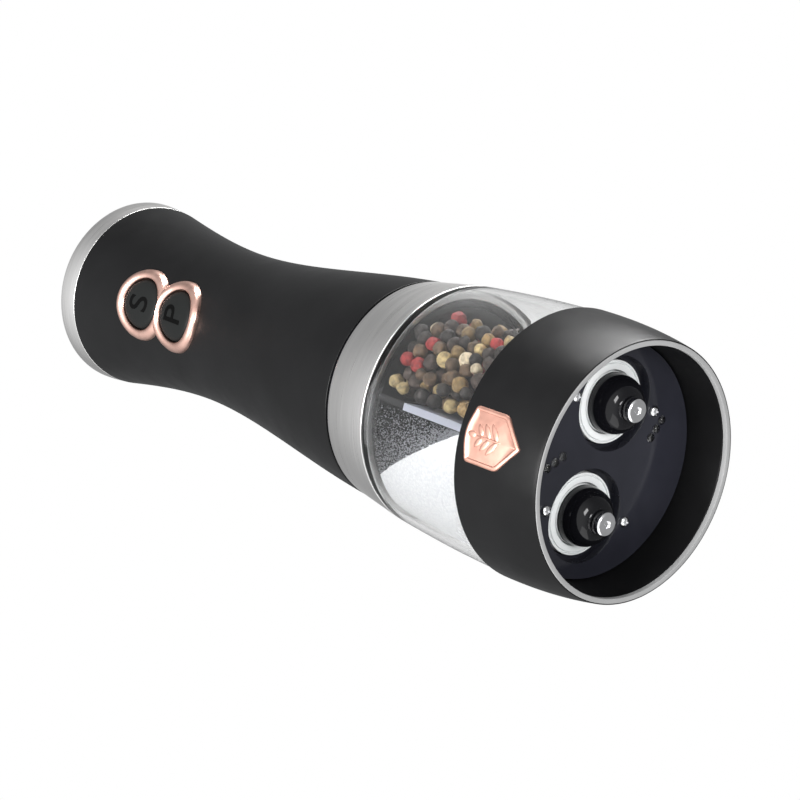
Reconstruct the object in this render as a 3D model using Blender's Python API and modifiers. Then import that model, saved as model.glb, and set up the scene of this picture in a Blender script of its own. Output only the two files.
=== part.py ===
"""Electric two-in-one salt and pepper mill, standing on the open rim of its grinding end.

Metres, +Z up the mill's axis, origin at the centre of the rim. The front, with the badge and the two
keys, faces -Y. Salt is on the -X side and pepper on the +X side.
"""

import math

import bmesh
import bpy

MM = 0.001

# Heights of the visible sections, from the rim up.
COLLAR_H = 26.0 * MM
GLASS_H = 38.3 * MM
BAND_H = 17.1 * MM
HANDLE_H = 128.7 * MM
CAP_H = 7.6 * MM
WAIST_SHARE = 0.62

# Radii of the silhouette.
BODY_R = 34.8 * MM
RIM_TAPER = 2.3 * MM
GLASS_STEP = 0.6 * MM
BAND_TAPER = 2.4 * MM
SHOULDER_TAPER = 4.7 * MM
WAIST_ROOM = 0.36 * MM
CROWN_FLARE = 5.1 * MM
CAP_FLARE = 0.5 * MM

# Slopes of the silhouette, radius per height, where two curves meet.
RIM_SLOPE = 0.2
GLASS_SLOPE = -0.085
SHOULDER_SLOPE = -0.07
CROWN_SLOPE = 0.17

# Gaps between pieces.
GAP = 0.3 * MM
SLIP = 0.4 * MM

# Walls.
SHELL_WALL = 1.8 * MM
GLASS_WALL = 2.4 * MM
COLLAR_WALL = 1.8 * MM
NECK_WALL = 1.6 * MM
BAND_LIP = 1.4 * MM

# Grinding end.
RIM_H = 1.2 * MM
RIM_WALL = 1.5 * MM
THROAT_DRAFT = 0.8 * MM
PLATE_Z = 12.5 * MM
PLATE_T = 2.5 * MM
PLATE_MARGIN = 3.9 * MM
WEB = 4.4 * MM
RECESS_DEPTH = 3.3 * MM
RECESS_GROOVE = 1.5 * MM
STATOR_BELOW = 1.8 * MM
STATOR_H = 6.0 * MM
STATOR_RIM = 2.4 * MM
MILL_LAND = 1.6 * MM
MILL_TAPER = 2.0 * MM
MILL_GAP = 0.6 * MM
ROTOR_INSET = 0.1 * MM
HOPPER_FLOOR_T = 2.2 * MM
SEAL_T = 1.0 * MM
DOME_H = 6.9 * MM
DOME_LIP = 0.3 * MM
NUT_R = 3.1 * MM
NUT_H = 2.2 * MM
NUT_EDGE = 0.4 * MM
NUT_DIMPLE_R = 0.9 * MM
NUT_DIMPLE_DEPTH = 0.6 * MM
SHAFT_R = 2.2 * MM
SCREW_HEAD_R = 1.4 * MM
SCREW_HEAD_H = 0.7 * MM
SCREW_R = 0.9 * MM
SCREW_OUTSET = 2.0 * MM
PIP_R = 1.2 * MM
PIP_PITCH = 2.6 * MM
PIP_PROUD = 0.6 * MM
LENS_T = 0.5 * MM
FRONT_LENS_AT = (-2.3 * MM, -14.9 * MM)
FRONT_LENS_TURN = math.radians(-127.5)
REAR_LENS_AT = (9.9 * MM, 16.5 * MM)
REAR_LENS_TURN = math.radians(20.1)

# Spice container.
NECK_H = 12.9 * MM
DIVIDER_T = 1.8 * MM
CLEAR_DIVIDER_H = 24.5 * MM
DIVIDER_HEADROOM = 2.3 * MM
SALT_FOOT_H = 5.0 * MM
SALT_SLOPE = 1.86
PEPPER_DEPTH = 22.0 * MM
FILL_HEADROOM = 3.3 * MM
FOOT_STEP = 1.0 * MM

# Gear train: one spur pair for each grinder.
MODULE = 0.6 * MM
GEAR_TIP_ROOM = 1.1 * MM
PINION_TEETH = 9
TOOTH_BACKLASH = 0.14 * MM
GEAR_T = 4.5 * MM
SPIGOT_R = 3.6 * MM
STUB_R = 2.0 * MM
CASE_FLOOR_T = 2.5 * MM
CASE_WALL = 1.5 * MM
CASE_FLANGE_T = 2.5 * MM
MOTOR_PLATE_T = 2.5 * MM
MOTOR_R = 8.8 * MM
MOTOR_L = 28.0 * MM
MOTOR_SHAFT_R = 1.0 * MM
MOTOR_ANGLE = math.radians(60)
MOTOR_EDGE = 0.8 * MM
STUB_DROP = 0.8 * MM
PINION_SHY = 0.4 * MM
STEM_REACH = 8.0 * MM
STEM_ROOM = 1.0 * MM

# Handle.
CHASSIS_T = 1.8 * MM
CHASSIS_SHOULDER = 35.0 * MM
CHASSIS_MARGIN = 2.2 * MM
CHASSIS_TOP_W = 26.0 * MM
BATTERY_R = 5.25 * MM
BATTERY_L = 44.5 * MM
BATTERY_NUB_R = 1.9 * MM
BATTERY_NUB_H = 1.0 * MM
BATTERY_PLAY = 0.35 * MM
BATTERY_WEB = 0.8 * MM
BATTERY_EDGE = 0.5 * MM
HOLDER_WALL = 1.9 * MM
HOLDER_BACKSET = 2.3 * MM
CONTACT_T = 0.6 * MM
CAP_TOP_T = 2.2 * MM
CAP_SKIRT_H = 6.0 * MM
CAP_SKIRT_T = 1.5 * MM
CAP_EDGE = 0.6 * MM
CAP_HUB_R = 12.5 * MM
CAP_HUB_T = 2.0 * MM

# Keys, bezel and switches.
KEY_DROP = 30.0 * MM
KEY_WEB = 1.4 * MM
KEY_R = 7.2 * MM
KEY_PROUD = 1.4 * MM
LOBE_BACK_Y = -1.0 * MM
KEY_FLANGE_LIP = 0.7 * MM
KEY_FLANGE_T = 0.6 * MM
KEY_TRAVEL = 1.0 * MM
BEZEL_RING = 2.9 * MM
BEZEL_PROUD = 1.5 * MM
SWITCH_W = 6.0 * MM
SWITCH_H = 1.4 * MM
SWITCH_BUTTON_H = 0.5 * MM
BOARD_T = 1.2 * MM
BOARD_W = 16.0 * MM
BOARD_MARGIN = 8.0 * MM

# Badge on the collar.
BADGE_HALF_W = 6.8 * MM
BADGE_POINT_Z = 6.0 * MM
BADGE_SHOULDER_Z = 12.1 * MM
BADGE_CORNER_Z = 22.4 * MM
BADGE_CROWN = 1.6 * MM
BADGE_PROUD = 0.6 * MM
BADGE_SUNK = 0.5 * MM

# Overlap of two solids that are joined into one piece.
BITE = 0.5 * MM

# Facets around a full turn, by size of piece.
BIG_STEPS = 40
LOBE_STEPS = 32
SMALL_STEPS = 20
TINY_STEPS = 12
REACH = 60.0 * MM

# Heights that follow from the sizes above.
GLASS_TOP = COLLAR_H + GLASS_H
BAND_TOP = GLASS_TOP + BAND_H
HANDLE_TOP = BAND_TOP + HANDLE_H
CAP_TOP = HANDLE_TOP + CAP_H
WAIST_Z = BAND_TOP + WAIST_SHARE * HANDLE_H
STATOR_Z = PLATE_Z + STATOR_BELOW
STATOR_TOP = STATOR_Z + STATOR_H
HOPPER_Z = STATOR_TOP + GAP
HOPPER_TOP = HOPPER_Z + HOPPER_FLOOR_T
SEAL_Z = HOPPER_TOP + GAP
CONTAINER_Z = SEAL_Z + SEAL_T + GAP
NECK_TOP = GLASS_TOP + NECK_H
CASE_TOP = NECK_TOP + GAP + CASE_FLANGE_T
CASE_Z = GLASS_TOP + 0.5 * MM
MOTOR_PLATE_Z = CASE_TOP + GAP
MOTOR_Z = MOTOR_PLATE_Z + MOTOR_PLATE_T + GAP
GEAR_Z = CASE_Z + CASE_FLOOR_T + 0.7 * MM
GEAR_TOP = GEAR_Z + GEAR_T
SHAFT_TOP = GEAR_TOP - 1.0 * MM
DOME_BASE_Z = STATOR_Z - 0.2 * MM
DOME_TIP_Z = DOME_BASE_Z - DOME_H
NUT_TOP = DOME_TIP_Z - GAP
HUB_BOTTOM = HANDLE_TOP - CAP_SKIRT_H
UPPER_CONTACT_Z = HUB_BOTTOM - GAP - CONTACT_T
HOLDER_TOP = UPPER_CONTACT_Z - GAP - BATTERY_NUB_H
HOLDER_Z = HOLDER_TOP - (BATTERY_L - BATTERY_NUB_H)
LOWER_CONTACT_Z = HOLDER_Z - GAP - CONTACT_T
SALT_KEY_Z = HANDLE_TOP - KEY_DROP
KEY_PITCH = 2 * (KEY_R + GAP) + KEY_WEB
PEPPER_KEY_Z = SALT_KEY_Z - KEY_PITCH

# Radii and places that follow.
RIM_R = BODY_R - RIM_TAPER
BAND_LOW_R = BODY_R - BAND_TAPER
BAND_TOP_R = BODY_R - SHOULDER_TAPER
BAND_BORE_R = BAND_TOP_R - BAND_LIP
NECK_R = BAND_BORE_R - GAP
NECK_BORE_R = NECK_R - NECK_WALL
THROAT_R = RIM_R - RIM_WALL
PLATE_R = THROAT_R - THROAT_DRAFT - GAP
COLLAR_BORE_R = BODY_R - COLLAR_WALL
SKIRT_R = COLLAR_BORE_R - GAP
RECESS_R = (PLATE_R - PLATE_MARGIN - WEB / 2) / 2
GRINDER_X = RECESS_R + WEB / 2
STATOR_R = RECESS_R - RECESS_GROOVE
STATOR_BORE_R = STATOR_R - STATOR_RIM
ROTOR_R = STATOR_BORE_R - SLIP
SCREW_Y = RECESS_R + SCREW_OUTSET
CASE_R = NECK_BORE_R - SLIP
CASE_BORE_R = CASE_R - CASE_WALL
GEAR_TEETH = int(2 * (CASE_BORE_R - GRINDER_X - GEAR_TIP_ROOM) / MODULE) - 2
GEAR_R = MODULE * GEAR_TEETH / 2
PINION_R = MODULE * PINION_TEETH / 2
HOLDER_Y = HOLDER_BACKSET
BATTERY_SLOT_R = BATTERY_R + BATTERY_PLAY
BATTERY_OFFSET = BATTERY_SLOT_R + BATTERY_WEB / 2
HOLDER_R = BATTERY_OFFSET * math.sqrt(2) + BATTERY_SLOT_R + HOLDER_WALL
KEY_FLANGE_R = KEY_R + KEY_FLANGE_LIP
KEY_SAG = KEY_FLANGE_R**2 / (2 * HOLDER_R)
WAIST_R = HOLDER_R + HOLDER_BACKSET + SHELL_WALL + KEY_SAG + WAIST_ROOM
CROWN_R = WAIST_R + CROWN_FLARE
BOARD_FRONT_Y = HOLDER_Y - HOLDER_R - SLIP - BOARD_T
SWITCH_FRONT_Y = BOARD_FRONT_Y - GAP - SWITCH_H
KEY_BACK_Y = SWITCH_FRONT_Y - KEY_TRAVEL - GAP

SIDES = {"salt": -1, "pepper": 1}

RIM_STATION = (0.0, RIM_R, RIM_SLOPE)
COLLAR_STATION = (COLLAR_H, BODY_R, 0.0)
GLASS_LOW = (COLLAR_H, BODY_R - GLASS_STEP, 0.0)
GLASS_HIGH = (GLASS_TOP, BAND_LOW_R, GLASS_SLOPE)
SHOULDER = (BAND_TOP, BAND_TOP_R, SHOULDER_SLOPE)
WAIST = (WAIST_Z, WAIST_R, 0.0)
CROWN = (HANDLE_TOP, CROWN_R, CROWN_SLOPE)


def between(z, low, high):
    """Radius at height z on the smooth curve between two (height, radius, slope) stations."""
    span = high[0] - low[0]
    t = (z - low[0]) / span
    start = low[1] * (2 * t**3 - 3 * t**2 + 1) + low[2] * span * (t**3 - 2 * t**2 + t)
    end = high[1] * (3 * t**2 - 2 * t**3) + high[2] * span * (t**3 - t**2)
    return start + end


def collar_radius(z):
    return between(z, RIM_STATION, COLLAR_STATION)


def glass_radius(z):
    return between(z, GLASS_LOW, GLASS_HIGH)


def handle_radius(z):
    if z < WAIST_Z:
        return between(z, SHOULDER, WAIST)
    return between(z, WAIST, CROWN)


def heights(low, high, count):
    """Evenly spaced heights from low to high, both included."""
    return [low + (high - low) * i / (count - 1) for i in range(count)]


def down(radius, low, high, count, offset=0.0):
    """Profile points down a curved outer side."""
    return [(radius(z) + offset, z) for z in reversed(heights(low, high, count))]


def up(radius, low, high, count, offset=0.0):
    """Profile points up a curved inner side."""
    return [(radius(z) + offset, z) for z in heights(low, high, count)]


# Scene, materials and modelling helpers.


def clear_scene():
    for obj in list(bpy.data.objects):
        bpy.data.objects.remove(obj)
    for collection in list(bpy.data.collections):
        bpy.data.collections.remove(collection)


def new_collection(name):
    collection = bpy.data.collections.new(name)
    bpy.context.scene.collection.children.link(collection)
    return collection


clear_scene()
MILL = new_collection("salt_and_pepper_mill")
CUTTERS = new_collection("cutters")


def material(name, colour, roughness, metallic=0.0, transmission=0.0):
    made = bpy.data.materials.new(name)
    made.use_nodes = True
    shader = made.node_tree.nodes["Principled BSDF"]
    shader.inputs["Base Color"].default_value = (*colour, 1.0)
    shader.inputs["Roughness"].default_value = roughness
    shader.inputs["Metallic"].default_value = metallic
    shader.inputs["Transmission Weight"].default_value = transmission
    return made


SOFT_BLACK = material("soft_black", (0.022, 0.022, 0.023), 0.55)
GLOSS_BLACK = material("gloss_black", (0.01, 0.01, 0.012), 0.08)
SATIN_SILVER = material("satin_silver", (0.62, 0.61, 0.6), 0.32, 1.0)
RIM_GREY = material("rim_grey", (0.38, 0.38, 0.38), 0.4)
ROSE_GOLD = material("rose_gold", (0.82, 0.52, 0.44), 0.18, 1.0)
CLEAR = material("clear_acrylic", (0.96, 0.97, 0.97), 0.03, transmission=1.0)
CERAMIC = material("ceramic", (0.86, 0.88, 0.88), 0.2)
CHROME = material("chrome", (0.8, 0.8, 0.82), 0.08, 1.0)
STEEL = material("steel", (0.6, 0.6, 0.6), 0.3, 1.0)
NYLON = material("nylon", (0.75, 0.74, 0.68), 0.5)
RUBBER = material("silicone", (0.5, 0.5, 0.5), 0.7)
BOARD_GREEN = material("board_green", (0.02, 0.16, 0.07), 0.45)
CELL_WRAP = material("cell_wrap", (0.1, 0.1, 0.3), 0.35)
SALT = material("salt", (0.88, 0.88, 0.87), 0.6)
PEPPER = material("pepper", (0.12, 0.07, 0.045), 0.7)


def part(obj, finish):
    """Puts an object in the mill with its material and smooth shading on its round faces."""
    obj.data.materials.clear()
    obj.data.materials.append(finish)
    if obj.name not in MILL.objects:
        MILL.objects.link(obj)
    if obj.name in CUTTERS.objects:
        CUTTERS.objects.unlink(obj)
    obj.hide_render = False
    obj.display_type = "TEXTURED"
    return obj


def helper(name, mesh):
    """A new object among the cutters, left out of the model unless part() takes it."""
    obj = bpy.data.objects.new(name, mesh)
    CUTTERS.objects.link(obj)
    obj.hide_render = True
    obj.display_type = "WIRE"
    return obj


def turned(name, profile, x=0.0, y=0.0, steps=BIG_STEPS):
    """A profile of (radius, height) points turned about a vertical axis at x, y.

    The profile runs down the outer side. One that starts and ends on the axis stays open there, and any
    other is closed into a loop.
    """
    mesh = bpy.data.meshes.new(name)
    count = len(profile)
    on_axis = profile[0][0] == 0.0 and profile[-1][0] == 0.0
    edges = [(i, i + 1) for i in range(count - 1)]
    if not on_axis:
        edges.append((count - 1, 0))
    mesh.from_pydata([(r, 0.0, z) for r, z in profile], edges, [])
    obj = helper(name, mesh)
    obj.location = (x, y, 0.0)
    screw = obj.modifiers.new("turn", "SCREW")
    screw.steps = steps
    screw.render_steps = steps
    screw.use_merge_vertices = True
    screw.merge_threshold = 0.00001
    screw.use_smooth_shade = True
    return obj


def rod(name, radius, low, high, x=0.0, y=0.0, steps=SMALL_STEPS, turn=0.0):
    """An upright cylinder from height low to high, or a prism where steps is small."""
    mesh = bpy.data.meshes.new(name)
    shape = bmesh.new()
    bmesh.ops.create_cone(
        shape, cap_ends=True, segments=steps, radius1=radius, radius2=radius, depth=high - low
    )
    bmesh.ops.translate(shape, vec=(0.0, 0.0, (low + high) / 2), verts=shape.verts)
    shape.to_mesh(mesh)
    shape.free()
    obj = helper(name, mesh)
    obj.location = (x, y, 0.0)
    obj.rotation_euler.z = turn
    return obj


def peg(name, radius, front, back, x, z, steps=SMALL_STEPS):
    """A cylinder along Y from front to back, with its origin on its own axis."""
    obj = rod(name, radius, 0.0, back - front, steps=steps)
    obj.location = (x, front, z)
    obj.rotation_euler.x = -math.pi / 2
    return obj


def block(name, low, high):
    mesh = bpy.data.meshes.new(name)
    shape = bmesh.new()
    bmesh.ops.create_cube(shape, size=1.0)
    size = [b - a for a, b in zip(low, high)]
    bmesh.ops.scale(shape, vec=size, verts=shape.verts)
    bmesh.ops.translate(shape, vec=[(a + b) / 2 for a, b in zip(low, high)], verts=shape.verts)
    shape.to_mesh(mesh)
    shape.free()
    return helper(name, mesh)


def outline(name, points, thickness, upright=False, x=0.0, y=0.0, z=0.0, turn=0.0):
    """A flat outline with a thickness, centred on its own plane, lying down or upright in the XZ plane."""
    curve = bpy.data.curves.new(name + "_outline", "CURVE")
    curve.dimensions = "2D"
    curve.fill_mode = "BOTH"
    curve.extrude = thickness / 2
    spline = curve.splines.new("POLY")
    spline.points.add(len(points) - 1)
    for point, (a, b) in zip(spline.points, points):
        point.co = (a, b, 0.0, 1.0)
    spline.use_cyclic_u = True
    flat = bpy.data.objects.new(name + "_outline", curve)
    bpy.context.scene.collection.objects.link(flat)
    graph = bpy.context.evaluated_depsgraph_get()
    mesh = bpy.data.meshes.new_from_object(flat.evaluated_get(graph))
    bpy.data.objects.remove(flat)
    shape = bmesh.new()
    shape.from_mesh(mesh)
    bmesh.ops.remove_doubles(shape, verts=shape.verts, dist=0.000001)
    bmesh.ops.recalc_face_normals(shape, faces=shape.faces)
    shape.to_mesh(mesh)
    shape.free()
    obj = helper(name, mesh)
    obj.location = (x, y, z)
    obj.rotation_euler = (math.pi / 2 if upright else 0.0, 0.0, turn)
    return obj


def combine(obj, operation, *others):
    for other in others:
        step = obj.modifiers.new(operation.lower(), "BOOLEAN")
        step.operation = operation
        step.solver = "EXACT"
        step.object = other
    return obj


def skin(name, radius, low, high, count, outer, inner):
    """A thin turned sleeve that follows a curved side, from the inner to the outer offset."""
    profile = down(radius, low, high, count, outer) + up(radius, low, high, count, inner)
    return turned(name, profile)


# Grinding end.


def throat_radius(z):
    """Inner wall of the collar, which narrows a little from the rim to the plate."""
    return THROAT_R - THROAT_DRAFT * min(z / PLATE_Z, 1.0)


def badge_outline(margin=0.0):
    """Home-plate outline in X and Z, point down, with a slightly crowned top edge."""
    w = BADGE_HALF_W + margin
    top = BADGE_CORNER_Z + margin
    points = [(-w, BADGE_SHOULDER_Z), (0.0, BADGE_POINT_Z - margin), (w, BADGE_SHOULDER_Z)]
    for i in range(7):
        across = 1.0 - i / 3
        points.append((w * across, top + BADGE_CROWN * (1.0 - across**2)))
    return points


def badge_block(name, margin=0.0):
    return outline(name, badge_outline(margin), REACH, upright=True, y=-REACH / 2)


def make_collar():
    ledge = PLATE_Z + PLATE_T + SLIP
    bore = ledge + COLLAR_WALL
    profile = down(collar_radius, RIM_H + GAP, COLLAR_H, 5)
    profile += up(throat_radius, RIM_H + GAP, ledge, 3)
    profile += [(COLLAR_BORE_R, bore), (COLLAR_BORE_R, COLLAR_H)]
    pocket = skin("badge_pocket_skin", collar_radius, 0.0, COLLAR_H, 4, 5 * MM, -BADGE_SUNK - GAP)
    pocket = combine(badge_block("badge_pocket", GAP), "INTERSECT", pocket)
    part(combine(turned("base_collar", profile), "DIFFERENCE", pocket), SOFT_BLACK)
    part(turned("rim_ring", [(collar_radius(RIM_H), RIM_H), (RIM_R, 0.0), (THROAT_R, 0.0),
                             (THROAT_R, RIM_H)]), RIM_GREY)


def make_badge():
    face = skin("badge_skin", collar_radius, 0.0, COLLAR_H, 4, BADGE_PROUD, -BADGE_SUNK)
    part(combine(badge_block("badge"), "INTERSECT", face), ROSE_GOLD)


def screw_places():
    return [(side * GRINDER_X, way * SCREW_Y) for side in SIDES.values() for way in (-1, 1)]


def make_plate():
    """Glossy plate with a recess and a bored hub for each grinder."""
    top = PLATE_Z + PLATE_T
    plate = turned("grinder_plate", [(0.0, top), (PLATE_R, top), (PLATE_R, PLATE_Z), (0.0, PLATE_Z)])
    for side in SIDES.values():
        x = side * GRINDER_X
        hub = rod("hub", RECESS_R + BITE, PLATE_Z + BITE, STATOR_TOP, x)
        recess = rod("recess", RECESS_R, 0.0, PLATE_Z + RECESS_DEPTH, x)
        bore = rod("bore", STATOR_R + GAP, 0.0, REACH, x)
        combine(plate, "UNION", hub)
        combine(plate, "DIFFERENCE", recess, bore)
    for x, y in screw_places():
        combine(plate, "DIFFERENCE", rod("screw_hole", SCREW_R + GAP, 0.0, REACH, x, y, TINY_STEPS))
    part(plate, GLOSS_BLACK)


def make_hopper_floor():
    """Disc that closes the container from below, with a hole over each grinder."""
    floor = rod("hopper_floor", SKIRT_R, HOPPER_Z, HOPPER_TOP, steps=BIG_STEPS)
    for side in SIDES.values():
        hole = rod("hopper_hole", STATOR_BORE_R + GAP, 0.0, REACH, side * GRINDER_X)
        combine(floor, "DIFFERENCE", hole)
    for x, y in screw_places():
        combine(floor, "DIFFERENCE", rod("screw_hole", SCREW_R + GAP, 0.0, REACH, x, y, TINY_STEPS))
    part(floor, GLOSS_BLACK)
    part(turned("container_seal", [(SKIRT_R, SEAL_Z + SEAL_T), (SKIRT_R, SEAL_Z),
                                   (SKIRT_R - NECK_WALL, SEAL_Z), (SKIRT_R - NECK_WALL, SEAL_Z + SEAL_T)]),
         RUBBER)


def make_screws():
    head_top = PLATE_Z - GAP
    for i, (x, y) in enumerate(screw_places()):
        profile = [(0.0, HOPPER_TOP - GAP), (SCREW_R, HOPPER_TOP - GAP), (SCREW_R, head_top),
                   (SCREW_HEAD_R, head_top), (0.85 * SCREW_HEAD_R, head_top - SCREW_HEAD_H),
                   (0.0, head_top - SCREW_HEAD_H)]
        part(turned(f"plate_screw_{i + 1}", profile, x, y, TINY_STEPS), CHROME)


def make_lens(name, x, y, turn):
    """Clear light window under the plate, with three round pips in a row."""
    top = PLATE_Z - GAP
    half = PIP_PITCH + PIP_R
    lens = block(name, (-half, -PIP_R, top - LENS_T), (half, PIP_R, top))
    lens.location = (x, y, 0.0)
    lens.rotation_euler.z = turn
    for i in (-1, 0, 1):
        px = x + i * PIP_PITCH * math.cos(turn)
        py = y + i * PIP_PITCH * math.sin(turn)
        pip_low = top - LENS_T - PIP_PROUD
        pip = turned("pip", [(0.0, top - SLIP), (0.8 * PIP_R, top - SLIP), (0.8 * PIP_R, top - LENS_T),
                             (0.5 * PIP_R, pip_low + SLIP), (0.0, pip_low)], px, py, TINY_STEPS)
        combine(lens, "UNION", pip)
    part(lens, CLEAR)


# Grinders: a fixed ceramic stator, and a ceramic rotor turned by the shaft inside it.


def make_grinder(spice, side):
    x = side * GRINDER_X
    cone_z = STATOR_Z + MILL_LAND
    cone_r = STATOR_BORE_R - MILL_TAPER
    stator = [(STATOR_R, STATOR_TOP), (STATOR_R, STATOR_Z), (STATOR_BORE_R, STATOR_Z),
              (STATOR_BORE_R, cone_z), (cone_r, STATOR_TOP)]
    part(turned(f"{spice}_stator", stator, x, steps=SMALL_STEPS), CERAMIC)
    bore = SHAFT_R + GAP
    face = STATOR_Z + ROTOR_INSET
    rotor = [(cone_r - MILL_GAP, STATOR_TOP), (ROTOR_R, cone_z), (ROTOR_R, face), (bore, face),
             (bore, STATOR_TOP)]
    part(turned(f"{spice}_rotor", rotor, x, steps=SMALL_STEPS), CERAMIC)
    part(rod(f"{spice}_shaft", SHAFT_R, NUT_TOP + GAP, SHAFT_TOP, x, steps=6), STEEL)


def make_adjuster(spice, side):
    """Grind adjuster under each grinder: a black dome, and the bright nut on its tip."""
    x = side * GRINDER_X
    tip_r = NUT_R + DOME_LIP
    base_r = ROTOR_R - DOME_LIP

    def dome_radius(z):
        fall = (DOME_BASE_Z - z) / DOME_H
        return tip_r + (base_r - tip_r) * math.sqrt(max(0.0, 1.0 - fall**2))

    bore = SHAFT_R + GAP
    dome = down(dome_radius, DOME_TIP_Z, DOME_BASE_Z, 7)
    dome += [(bore, DOME_TIP_Z), (bore, DOME_BASE_Z)]
    part(turned(f"{spice}_adjuster_dome", dome, x, steps=SMALL_STEPS), GLOSS_BLACK)
    low = NUT_TOP - NUT_H
    dimple_z = low + NUT_DIMPLE_DEPTH
    nut = [(0.0, NUT_TOP), (NUT_R, NUT_TOP), (NUT_R, low + NUT_EDGE), (NUT_R - NUT_EDGE, low),
           (NUT_DIMPLE_R, low), (NUT_DIMPLE_R, dimple_z), (0.0, dimple_z)]
    part(turned(f"{spice}_adjuster_nut", nut, x, steps=SMALL_STEPS), CHROME)


# Spice container.


def bore_radius(z):
    """Inside of the clear container, below its neck."""
    return glass_radius(max(z, COLLAR_H)) - GLASS_WALL


FLARE_TOP = GLASS_TOP - GLASS_WALL
SKIRT_BORE_R = SKIRT_R - NECK_WALL - SLIP
DIVIDER_Z = CONTAINER_Z + 0.6 * MM
CLEAR_DIVIDER_TOP = DIVIDER_Z + CLEAR_DIVIDER_H


def make_container():
    """Clear tube with a skirt in the collar, a neck in the band and a divider wall along Y."""
    shoulder = COLLAR_H + GAP
    profile = [(NECK_R, NECK_TOP), (NECK_R, GLASS_TOP)]
    profile += down(glass_radius, shoulder, GLASS_TOP, 5)
    profile += [(SKIRT_R, shoulder), (SKIRT_R, CONTAINER_Z), (SKIRT_BORE_R, CONTAINER_Z)]
    profile += up(bore_radius, shoulder, FLARE_TOP, 4)
    profile += [(NECK_BORE_R, GLASS_TOP), (NECK_BORE_R, NECK_TOP)]
    half = BODY_R - GLASS_STEP - GLASS_WALL + BITE
    wall = block("divider", (-DIVIDER_T / 2, -half, DIVIDER_Z), (DIVIDER_T / 2, half, CLEAR_DIVIDER_TOP))
    part(combine(turned("container", profile), "UNION", wall), CLEAR)


def cavity(name, low, high, clearance):
    """The space inside the container between two heights, less a clearance to its wall."""
    profile = down(bore_radius, COLLAR_H + GAP, high, 4, -clearance)
    foot = SKIRT_BORE_R - clearance
    profile += [(foot, COLLAR_H - FOOT_STEP), (foot, low)] if low < COLLAR_H else []
    bottom = profile[-1][1]
    return turned(name, [(0.0, profile[0][1])] + profile + [(0.0, bottom)])


def make_divider_insert():
    """Dark blade that carries the divider on up to the neck."""
    low = CLEAR_DIVIDER_TOP + GAP
    high = GLASS_TOP - DIVIDER_HEADROOM
    blade = block("divider_insert", (-DIVIDER_T / 2, -REACH, low), (DIVIDER_T / 2, REACH, high))
    part(combine(blade, "INTERSECT", cavity("divider_space", COLLAR_H, FLARE_TOP, GAP)), GLOSS_BLACK)


def make_fills():
    """Spice in each half. The salt's surface slopes, as it lies when the mill is held on its side."""
    low = SEAL_Z
    high = GLASS_TOP - FILL_HEADROOM
    inner = DIVIDER_T / 2 + SLIP
    foot = low + SALT_FOOT_H
    crest = inner + (high - foot) / SALT_SLOPE
    beds = {
        "salt": [(-REACH, 0.0), (-inner, 0.0), (-inner, foot), (-crest, high + MM), (-REACH, high + MM)],
        "pepper": [(inner, 0.0), (PEPPER_DEPTH, 0.0), (PEPPER_DEPTH, high + MM), (inner, high + MM)],
    }
    for spice, side in SIDES.items():
        bed = outline(f"{spice}_bed", beds[spice], 2 * REACH, upright=True)
        space = cavity(f"{spice}_fill", low, high, SLIP)
        shaft_space = rod(f"{spice}_shaft_space", SHAFT_R + SLIP, 0.0, 2 * REACH, side * GRINDER_X,
                          steps=TINY_STEPS)
        combine(space, "INTERSECT", bed)
        combine(space, "DIFFERENCE", shaft_space)
        part(space, SALT if spice == "salt" else PEPPER)


def make_band():
    low = GLASS_TOP + GAP
    profile = [(BAND_TOP_R, BAND_TOP), (BAND_LOW_R, low), (BAND_BORE_R, low), (BAND_BORE_R, BAND_TOP)]
    part(turned("metal_band", profile), SATIN_SILVER)


# Gear train.


def gear_outline(teeth, margin):
    """Tooth flanks as straight lines through the pitch circle, thinned by the margin for running play."""
    radius = MODULE * teeth / 2
    half = (math.pi * MODULE / 2 - margin) / 2 / radius
    lean = math.tan(math.radians(20)) / radius
    tip = 0.85 * MODULE
    root = 1.15 * MODULE
    points = []
    for i in range(teeth):
        middle = 2 * math.pi * i / teeth
        for reach, way in ((-root, -1), (tip, -1), (tip, 1), (-root, 1)):
            angle = middle + way * (half - reach * lean)
            points.append(((radius + reach) * math.cos(angle), (radius + reach) * math.sin(angle)))
    return points


def motor_place(side):
    """Motor axis, one gear pair's centre distance from the grinder's axis, salt in front, pepper behind."""
    reach = GEAR_R + PINION_R
    x = side * (GRINDER_X - reach * math.cos(MOTOR_ANGLE))
    return x, side * reach * math.sin(MOTOR_ANGLE)


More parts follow.
